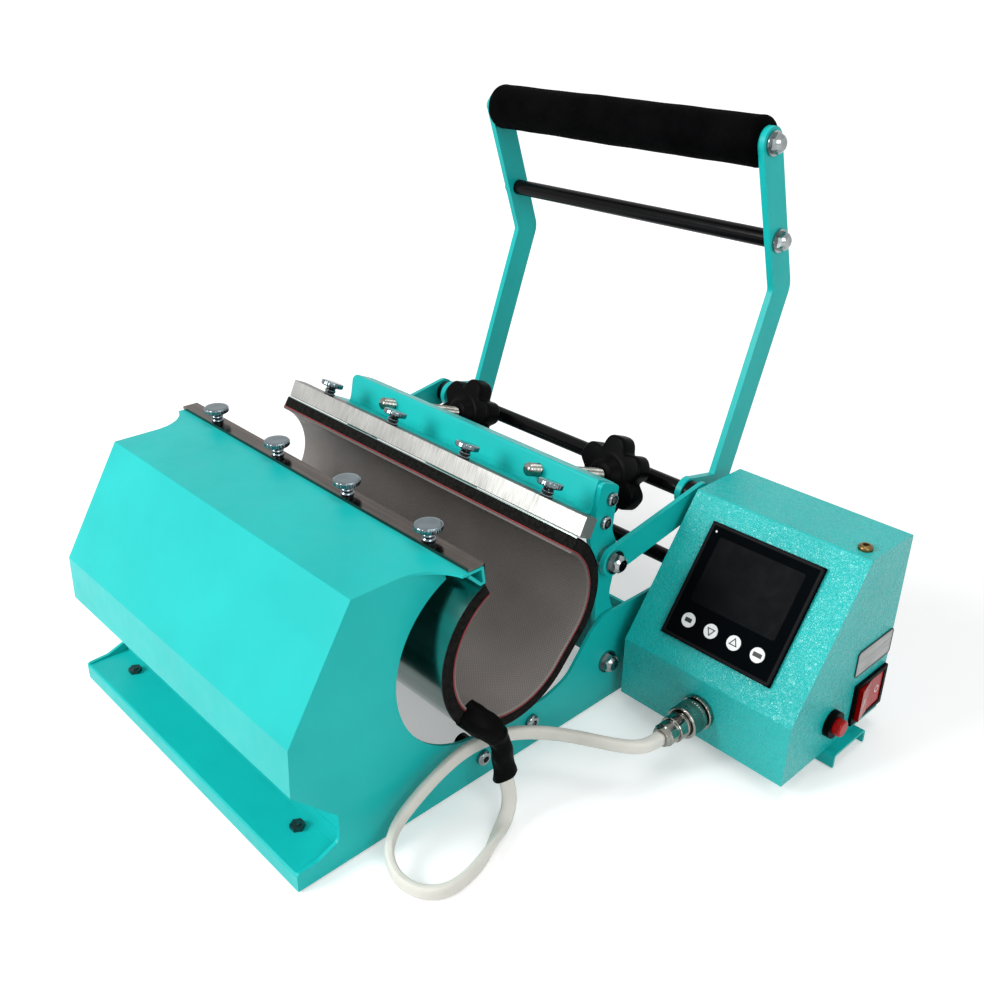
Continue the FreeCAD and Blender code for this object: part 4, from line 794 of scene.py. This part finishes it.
def cordPiece(s):
    # superellipse carried along the route: broad side across the view in the sleeve, turning
    # upright on the loop, and thicker where it enters the plug
    run = runLength(cablePath)
    along = directions(cablePath)
    turned = eased(run, s["turnFrom"], s["turnTo"])[:, None]
    wide = squareTo(along, np.array(s["facing"]) * (1 - turned) + np.array(s["upright"]) * turned)
    turn = circle(s["across"])
    c, d = (np.sign(wave) * np.abs(wave) ** (2 / s["squareness"])
            for wave in (np.cos(turn), np.sin(turn)))
    nearPlug = eased(run, run[-1] - s["plugFrom"], run[-1] - s["plugTo"])
    soft = 1 + sum(size * np.sin(run / pitch + phase) for size, pitch, phase in s["ripples"])
    halfWide = s["halfWide"] * (1 - s["narrower"] * nearPlug)
    halfThin = s["halfThin"] * soft * (1 + s["thicker"] * nearPlug)
    rings = sectionRings(cablePath[:, None, :], halfWide[:, None] * c, wide,
                         halfThin[:, None] * d, np.cross(along, wide))
    edge = np.hypot(*np.diff(np.stack([s["halfWide"] * c, s["halfThin"] * d]), axis=1))
    u, v = np.broadcast_arrays(addedUp(edge), run[:, None])
    uv = np.stack([u + v, u - v], 2).reshape(-1, 2) * s["braid"]
    return addPiece("heaterCable", loft(rings), "cableBraid", "frame", "white_silicone",
                    "heater_cable", uv=np.vstack([uv, np.zeros((2, 2))]))


cable = cordPiece(flatCord)

sleeve = dict(stop=47.5, wall=0.9, rows=96, across=48,
              at=(0, 0.12, 0.26, 0.36, 0.44, 0.56, 0.88, 1),
              halfWide=(7.4, 7.6, 7.6, 6.8, 5.9, 5.5, 5.8, 6.7),
              halfThin=(6, 6.4, 6.4, 5.8, 5.1, 4.6, 4.4, 4.7),
              rootWide=(0, 0.74, 0.67), tubeWide=(0.688, 0.726, 0), bendFrom=7, bendTo=25,
              fold=0.35, foldPitch=2.1, foldWaves=(2, 3), ridge=0.7, ridgeSides=(0.6, 0.4),
              ridgeAt=21, ridgeWide=1.5, creaseIn=(0.02, 0.2), slant=-2.4, slantIn=(0.8, 1),
              innerFrom=30)


def sleevePiece(s):
    # flattened shrink tube, closed at its root in the foam, gathered at the elbow by sine folds
    # and a bell-shaped ridge, then a tube that flares into a slanted open mouth round the cord
    run = runLength(cablePath)
    keep = np.linspace(0, s["stop"], s["rows"])
    path = np.stack([np.interp(keep, run, cablePath[:, k]) for k in range(3)], 1)
    along = directions(path)
    bent = eased(keep, s["bendFrom"], s["bendTo"])[:, None]
    wide = squareTo(along, np.array(s["rootWide"]) * (1 - bent) + np.array(s["tubeWide"]) * bent)
    thin = np.cross(along, wide)
    t = keep / s["stop"]
    turn = circle(s["across"])
    halfWide, halfThin = (np.interp(t, s["at"], s[k])[:, None] for k in ("halfWide", "halfThin"))
    spiral, around = s["foldWaves"]
    fold = (s["fold"] * np.sin(keep[:, None] / s["foldPitch"] + spiral * turn)
            * np.sin(turn * around + 1))
    even, sided = s["ridgeSides"]
    ridge = (s["ridge"] * np.exp(-((keep[:, None] - s["ridgeAt"]) / s["ridgeWide"]) ** 2)
             * (even + sided * np.cos(turn)))
    crease = (fold + ridge) * eased(t, *s["creaseIn"])[:, None]
    slant = s["slant"] * eased(t, *s["slantIn"])[:, None] * np.cos(turn)
    centre = path[:, None, :] + slant[:, :, None] * along[:, None, :]
    outer, inner = (sectionRings(centre, (halfWide + more) * np.cos(turn), wide,
                                 (halfThin + more) * np.sin(turn), thin)
                    for more in (crease, -s["wall"]))
    rings = np.concatenate([outer, inner[:s["innerFrom"]:-1]])
    return addPiece("cableSleeve", loft(rings), "shrinkBlack", "frame", "black_rubber",
                    "cable_sleeve")


cableSleeve = sleevePiece(sleeve)

plug = dict(start=(180, 46.9, 28), across=48, crease=32, profile=[
    # nose in the ring, grooved body, clamp ring and tapered neck
    (0, 6.6), (0.3, 7.2), (7, 7.2), (7.2, 7.5), (8.6, 7.5), (8.9, 7), (9.8, 7),
    (10.1, 7.5), (15, 7.5), (15.4, 7.2), (15.5, 6.4), (16.6, 6.3), (17, 6.6), (21.6, 6.6),
    (22, 6.3), (22.3, 5.8), (24.3, 5.6), (24.8, 5.2), (24.9, 4.9)])
towardsFront = (0, -1, 0)

plugBody = addPiece("plugBody", lathe(plug["profile"], plug["start"], towardsFront, plug["across"]),
                    "nickelPlate", "frame", "zinc_steel", "cable_plug", plug["crease"])

lockRing = dict(start=(180, 52, 28), length=12, outer=9.5, edge=0.9, corner=5, rows=24,
                bore=7.88, boreSetIn=0.2, ridges=40, perRidge=6, knurlFrom=2.2, knurlFade=0.4,
                knurl=0.32, rimDepth=0.5, crease=40)


def ringPiece(s):
    # locking ring with straight knurls over its middle, from a raised cosine round the rim
    rows, length = s["rows"], s["length"]
    middle = np.stack([np.linspace(s["edge"], length - s["edge"], rows),
                       np.full(rows, s["outer"])], 1)
    profile = bushing(0, length, s["outer"], s["edge"], s["corner"], middle, s["bore"],
                      s["boreSetIn"])

    def knurl(along, reach, turn):
        band = (np.clip((along - s["knurlFrom"]) / s["knurlFade"], 0, 1)
                * np.clip((length - s["knurlFrom"] - along) / s["knurlFade"], 0, 1))
        onRim = reach > s["outer"] - s["rimDepth"]
        return reach - onRim * band * s["knurl"] * ripple(s["ridges"] * turn)

    shape = lathe(profile, s["start"], towardsFront, s["ridges"] * s["perRidge"], True, knurl)
    addPiece("lockingRing", shape, "nickelPlate", "plug_ring", "zinc_steel", "plug_ring",
             s["crease"])


ringPiece(lockRing)
tuple(place(cablePath[0]))
place(cablePath).tolist()
print("cable, sleeve and plug made")


# ---- round socket nut, fluted on its rim, with its threaded barrel

socket = dict(
    start=(180, 56.2, 28), across=120, crease=35,
    profile=[(-11.9, 7.35), (-11.5, 7.75), (-0.4, 7.75), (0, 9.9), (0.4, 10.4), (1.6, 10.4),
             (2.7, 10.4), (3.2, 9.8), (3.2, 8.25)],
    barrel=7.75, threadFrom=3.6, threadTo=8.6, threadStep=0.2, pitch=1, threadDepth=0.25,
    grooves=(3.5, 8.7), mouth=(9, 7.35), flutes=30, fluteDepth=0.3, rim=(0.3, 2.9),
)


def socketPiece(s):
    # rim and barrel are cut by raised cosines, of the turn and of a helix
    thread = [(t, s["barrel"]) for t in np.arange(s["threadFrom"], s["threadTo"], s["threadStep"])]

    def cut(distance, reach, turn):
        flute = s["fluteDepth"] * between(distance, *s["rim"]) * ripple(s["flutes"] * turn)
        groove = (s["threadDepth"] * between(distance, *s["grooves"])
                  * ripple(fullTurn * distance / s["pitch"] - turn))
        return reach - flute - groove

    shape = lathe(s["profile"] + thread + [s["mouth"]], s["start"], towardsFront, s["across"],
                  wobble=cut)
    addPiece("socketNut", shape, "nickelPlate", "frame", "zinc_steel", "cable_socket", s["crease"])


socketPiece(socket)


# ---- star knobs, each with its threaded stud, lock nut and washer

wallMiddle = np.array([0, 38.25106, 142.63735])  # middle of the jaw's upright wall
wallLean = math.radians(20.5)
wallNormal = np.array([0, math.cos(wallLean), -math.sin(wallLean)])
knob = dict(
    places=(-66.5, 66.5), phases=(0.33, 0.55), distance=71, across=180, crease=48,
    radius=25.3, valley=18.6, lobes=6, flatTop=2.2, shoulder=0.9, half=6.4, edge=2.2, corner=7,
    # along, radius, share of the lobed outline, inset from it
    hubRows=[(-12.4, 4.05, 0, 0), (-12.4, 8.3, 0, 0), (-11.7, 9, 0, 0), (-7.6, 11.4, 0, 0),
             (-6.6, 12.6, 0, 0), (-6.4, 14, 0.15, -3.5)],
    backRows=[(6.3, 13, 0.3, -3.5), (5.7, 10.6, 0, 0), (5.1, 9.8, 0, 0), (5, 4, 0, 0)],
)
stud = dict(front=8.8, length=68.4, rows=325, radius=3.95, chamfer=0.7, pitch=1.25,
            threadDepth=0.42, rimDepth=0.5, across=28)
nut = dict(at=2.1, flat=5.75, across=72, sides=6, crease=25, hexRange=(0.1, 4.9))
nutCorner = nut["flat"] / math.cos(math.pi / nut["sides"])
nut["profile"] = [(0, 4.1), (0, 5.45), (0.9, nutCorner), (4.1, nutCorner), (5, 5.45), (5, 7.65),
                  (6.6, 7.65), (6.6, 4.1)]


def alongStud(x, distance):
    return wallMiddle + np.array([x, 0, 0]) + wallNormal * distance


def starKnob(s, name, body, x, phase):
    # rings from the hub to the back: each is a circle blended into the lobed outline, where the
    # outline's radius is a broad-topped cosine with one wave for each lobe
    axis, side, other = axisFrame(wallNormal)
    turn = circle(s["across"])
    top = 1 - (1 - ripple(s["lobes"] * (turn + phase))) ** s["flatTop"]
    lobed = s["valley"] + (s["radius"] - s["valley"]) * top ** s["shoulder"]
    edge = [(s["edge"] * (1 - math.cos(q)), s["edge"] * (1 - math.sin(q)))
            for q in quarterTurn(s["corner"])]
    rows = (s["hubRows"] + [(rise - s["half"], 0, 1, -inset) for rise, inset in edge]
            + [(s["half"] - rise, 0, 1, -inset) for rise, inset in edge[::-1]]
            + s["backRows"])
    along, radius, share, inset = np.array(rows)[:, :, None].swapaxes(0, 1)
    reach = radius * (1 - share) + share * (lobed + inset)
    rings = (alongStud(x, s["distance"]) + along[:, :, None] * axis
             + reach[:, :, None] * roundOf(turn, side, other))
    addPiece(name, loft(rings), "blackPlastic", body, "black_plastic", "star_" + body,
             s["crease"])


def knobStud(s, name, body, x):
    # rod with a helical groove, a raised cosine of distance over the pitch less the turn
    along = np.linspace(0, s["length"], s["rows"])
    profile = np.column_stack([along, np.full(len(along), s["radius"])])
    profile[:2, 1] -= s["chamfer"]

    def thread(distance, reach, turn):
        groove = ripple(fullTurn * distance / s["pitch"] - turn)
        return reach - s["threadDepth"] * groove * (reach > s["radius"] - s["rimDepth"])

    shape = lathe(profile, alongStud(x, -s["front"]), wallNormal, s["across"], wobble=thread)
    addPiece(name, shape, "nickelPlate", body, "zinc_steel")


def knobNut(s, name, body, x):
    # hexagon, its radius the flat's over a cosine, with rounded corners and a washer behind it
    sector = fullTurn / s["sides"]

    def hexed(distance, reach, turn):
        bend = s["flat"] / np.cos((turn + sector / 2) % sector - sector / 2)
        return np.where(between(distance, *s["hexRange"]), np.minimum(reach, bend), reach)

    shape = lathe(s["profile"], alongStud(x, s["at"]), wallNormal, s["across"], True, hexed)
    addPiece(name, shape, "zincPlate", body, "zinc_steel", crease=s["crease"])


for hand, x, phase in zip(("left", "right"), knob["places"], knob["phases"]):
    body = "knob_" + hand
    starKnob(knob, "starKnob_" + hand, body, x, phase)
    knobStud(stud, "knobStud_" + hand, body, x)
    knobNut(nut, "knobNut_" + hand, body, x)
print("star knobs made")


# ---- thumbscrews: flat knurled head on a beaded neck

thumb = dict(
    xs=(-99, -33, 33, 99), across=96, crease=40, tip=(2, 0.5), shank=(2.45, -0.05),
    profile=[(0, 3.5), (0.5, 3.7), (1, 3.5), (1.5, 3), (2, 3.2), (2.7, 3.6), (3.3, 3.4),
             (3.9, 2.9), (4.4, 3), (4.9, 3.4), (5.3, 5.9), (5.5, 6.7), (6, 7.3), (6.7, 7.3),
             (7.4, 7.3), (8.1, 7.3), (8.55, 6.8), (8.7, 6.2), (8.75, 4.9), (8.6, 2)],
    flutes=24, fluteDepth=0.22, rim=(5.8, 8.2),
    # seat in y and z, direction, reach below the seat, twist of the flutes from screw to screw
    front=((-69.80, 151.70), (0, 0, 1), 6, 0, 0.9),
    rear=((11.526, 147.154), (0, 0.438371, 0.898794), 8, 0.4, 0.7),
)


def thumbPiece(s, name, seat, up, reach, twist):
    # bead radii swell and shrink along the neck; the head's rim is fluted by a cosine of its turn
    (tipRadius, chamfer), (radius, top) = s["tip"], s["shank"]
    shank = [(-reach, tipRadius), (-reach + chamfer, radius), (top, radius)]

    def fluted(distance, reach, turn):
        wave = ripple(s["flutes"] * turn + twist)
        return reach - s["fluteDepth"] * between(distance, *s["rim"]) * wave

    shape = lathe(shank + s["profile"], seat, up, s["across"], wobble=fluted)
    addPiece(name + "_piece", shape, "headSteel", name, "zinc_steel", name, s["crease"])


for i, x in enumerate(thumb["xs"]):
    for row in ("front", "rear"):
        seat, up, reach, twist, more = thumb[row]
        thumbPiece(thumb, "%s_thumbscrew_%d" % (row, i + 1), (x, *seat), up, reach,
                   twist + more * i)
print("thumbscrews made")


# ---- control box faces: rim, display, key marks, rocker marks and bare plate

slopeFoot = np.array([0, 56.2, 48.3])
slopeTop = np.array([0, 113.3, 126.7])
slopeAlong = unit(slopeTop - slopeFoot)
slopeOut = np.array([0, -slopeAlong[2], slopeAlong[1]])
panel = dict(
    middle=(180.4, 48.9), bezel=2.4,
    rim=(35.85, 34.85), rimCorner=2.4, leastCorner=0.25, rimCrease=35,
    rimRows=((0, 0), (0, 0.33), (0.35, 0.55), (1.75, 0.55), (2.1, 0.33), (2.1, 0)),
    display=(28, 20), displayAt=(180.4, 56.9), displayCorner=1.6, displayRise=0.22,
    dotAt=(149, 78.7), dotRadius=0.65, dotSides=20, dotRise=0.15, sink=0.1,
)
keys = dict(count=4, middle=180.4, low=26.7, pitch=15.2, top=2.9, sink=0.05, rise=0.07,
            corner=0.4, bars={0: 2.2, 3: 2.7}, barHigh=1.25, triangles={1: -1, 2: 1},
            triangle=3.1, cut=0.38)
boxSide = dict(
    x=236.1, plate=(137.5, 58.2), plateSize=(38, 16.5), plateCorner=2.4, plateThick=0.5,
    border=0.35, borderCorner=2.6, borderRows=((0, 0), (0, 0.62), (0.75, 0.62), (0.75, 0.45)),
    rocker=(124.9, 139, 153.1), rockerHigh=(4.6, 1.8, 1.4), rockerUp=29, markIn=5.5,
    bar=(0.5, 2.6), barCorner=0.3, ring=2.3, ringSides=32, ringCut=0.3, sink=0.05, rise=0.06,
)


def faceLift(origin, *axes):
    # makes a lift: from two places on a flat face and a height off it to points
    def lift(*places):
        shifts = zip(np.broadcast_arrays(*places), axes)
        return sum((shift[..., None] * np.array(axis, float) for shift, axis in shifts), origin)
    return lift


slopePoints = faceLift(slopeFoot, (1, 0, 0), slopeAlong, slopeOut)
sidePoints = faceLift(np.array([boxSide["x"], 0, 0]), (0, 1, 0), (0, 0, 1), (1, 0, 0))


def rockerPoints(along, up, out):
    # the rocker's two faces slope from its raised end
    high = np.interp(along, boxSide["rocker"], boxSide["rockerHigh"])
    return sidePoints(along, up, high + out)


def roundedRing(halfWide, halfHigh, radius, corner=7):
    # rounded rectangle in (across, along), counter-clockwise
    parts = []
    for k, (sx, sy) in enumerate(((1, 1), (-1, 1), (-1, -1), (1, -1))):
        middle = (sx * (halfWide - radius), sy * (halfHigh - radius))
        parts.append(middle + radius * onCircle(quarterTurn(corner) + k * math.pi / 2))
    return np.vstack(parts)


def bandPiece(name, outlines, lift, *rest, **more):
    # closed band over outlines of (across, along), each with its height off the face
    rings = [lift(*flat.T, out) for flat, out in outlines]
    addPiece(name, loft(np.array(rings), closed=True), *rest, **more)


def shrunk(flat, share):
    return flat.mean(0) + (flat - flat.mean(0)) * share


plateBevel = ((1, 0), (1, 0.6), (0.985, 1))  # share of the outline, share of the height


def platePiece(name, flat, low, high, lift, *rest):
    # plate with a small edge bevel
    rings = [lift(*shrunk(flat, share).T, low + (high - low) * rise) for share, rise in plateBevel]
    addPiece(name, loft(np.array(rings)), *rest, smooth=False)


def outlineMark(name, flat, cut, low, high, lift, *rest):
    # thin band between an outline and its shrunk copy
    inner = shrunk(flat, 1 - cut)
    bandPiece(name, [(flat, low), (flat, high), (inner, high), (inner, low)], lift, *rest,
              smooth=False)


def panelPieces(s):
    wide, high = s["rim"]
    rows = [(roundedRing(wide - inset, high - inset, max(s["rimCorner"] - inset, s["leastCorner"]))
             + s["middle"], s["bezel"] + out) for inset, out in s["rimRows"]]
    bandPiece("panelRim", rows, slopePoints, "panelRimBlack", "frame", "panel_face",
              crease=s["rimCrease"])
    low = s["bezel"] - s["sink"]
    platePiece("displayGlass", roundedRing(*s["display"], s["displayCorner"]) + s["displayAt"],
               low, s["bezel"] + s["displayRise"], slopePoints, "displayGlass", "frame",
               "panel_face")
    platePiece("panelDot", onCircle(circle(s["dotSides"])) * s["dotRadius"] + s["dotAt"], low,
               s["bezel"] + s["dotRise"], slopePoints, "inkWhite", "frame", "key_white")


def keyMarks(s):
    # bars on the outer keys, a triangle down and a triangle up on the inner ones
    low, high = s["top"] - s["sink"], s["top"] + s["rise"]
    for i in range(s["count"]):
        at = (s["middle"] + s["pitch"] * (i - (s["count"] - 1) / 2), s["low"])
        name = "keyMark%d" % (i + 1)
        rest = (slopePoints, "inkBlack", "panel_key_%d" % (i + 1), "black_plastic")
        if i in s["bars"]:
            bar = roundedRing(s["bars"][i], s["barHigh"], s["corner"], corner=4)
            platePiece(name, bar + at, low, high, *rest)
        else:
            angle = math.pi / 2 * s["triangles"][i] + np.arange(3) * fullTurn / 3
            outlineMark(name, onCircle(angle) * s["triangle"] + at, s["cut"], low, high, *rest)


def barePlate(s):
    # rounded plate with a thin dark border, nothing on it
    half = np.array(s["plateSize"]) / 2
    platePiece("barePlate", roundedRing(*half, s["plateCorner"]) + s["plate"], 0,
               s["plateThick"], sidePoints, "plateSilver", "frame", "zinc_steel")
    rows = [(roundedRing(*(half + s["border"] - inset), s["borderCorner"] - inset) + s["plate"],
             out) for inset, out in s["borderRows"]]
    bandPiece("plateBorder", rows, sidePoints, "inkBlack", "frame", "black_plastic", smooth=False)


def rockerMarks(s):
    # a bar and a ring printed on the rocker's two faces
    rest = (rockerPoints, "inkWhite", "rocker", "key_white")
    bar = roundedRing(*s["bar"], s["barCorner"], corner=4)
    platePiece("rockerBar", bar + [s["rocker"][0] + s["markIn"], s["rockerUp"]], -s["sink"],
               s["rise"], *rest)
    ringAt = [s["rocker"][2] - s["markIn"], s["rockerUp"]]
    ring = onCircle(circle(s["ringSides"])) * s["ring"] + ringAt
    outlineMark("rockerRing", ring, s["ringCut"], -s["sink"], s["rise"], *rest)


panelPieces(panel)
keyMarks(keys)
barePlate(boxSide)
rockerMarks(boxSide)
print("control box details made")
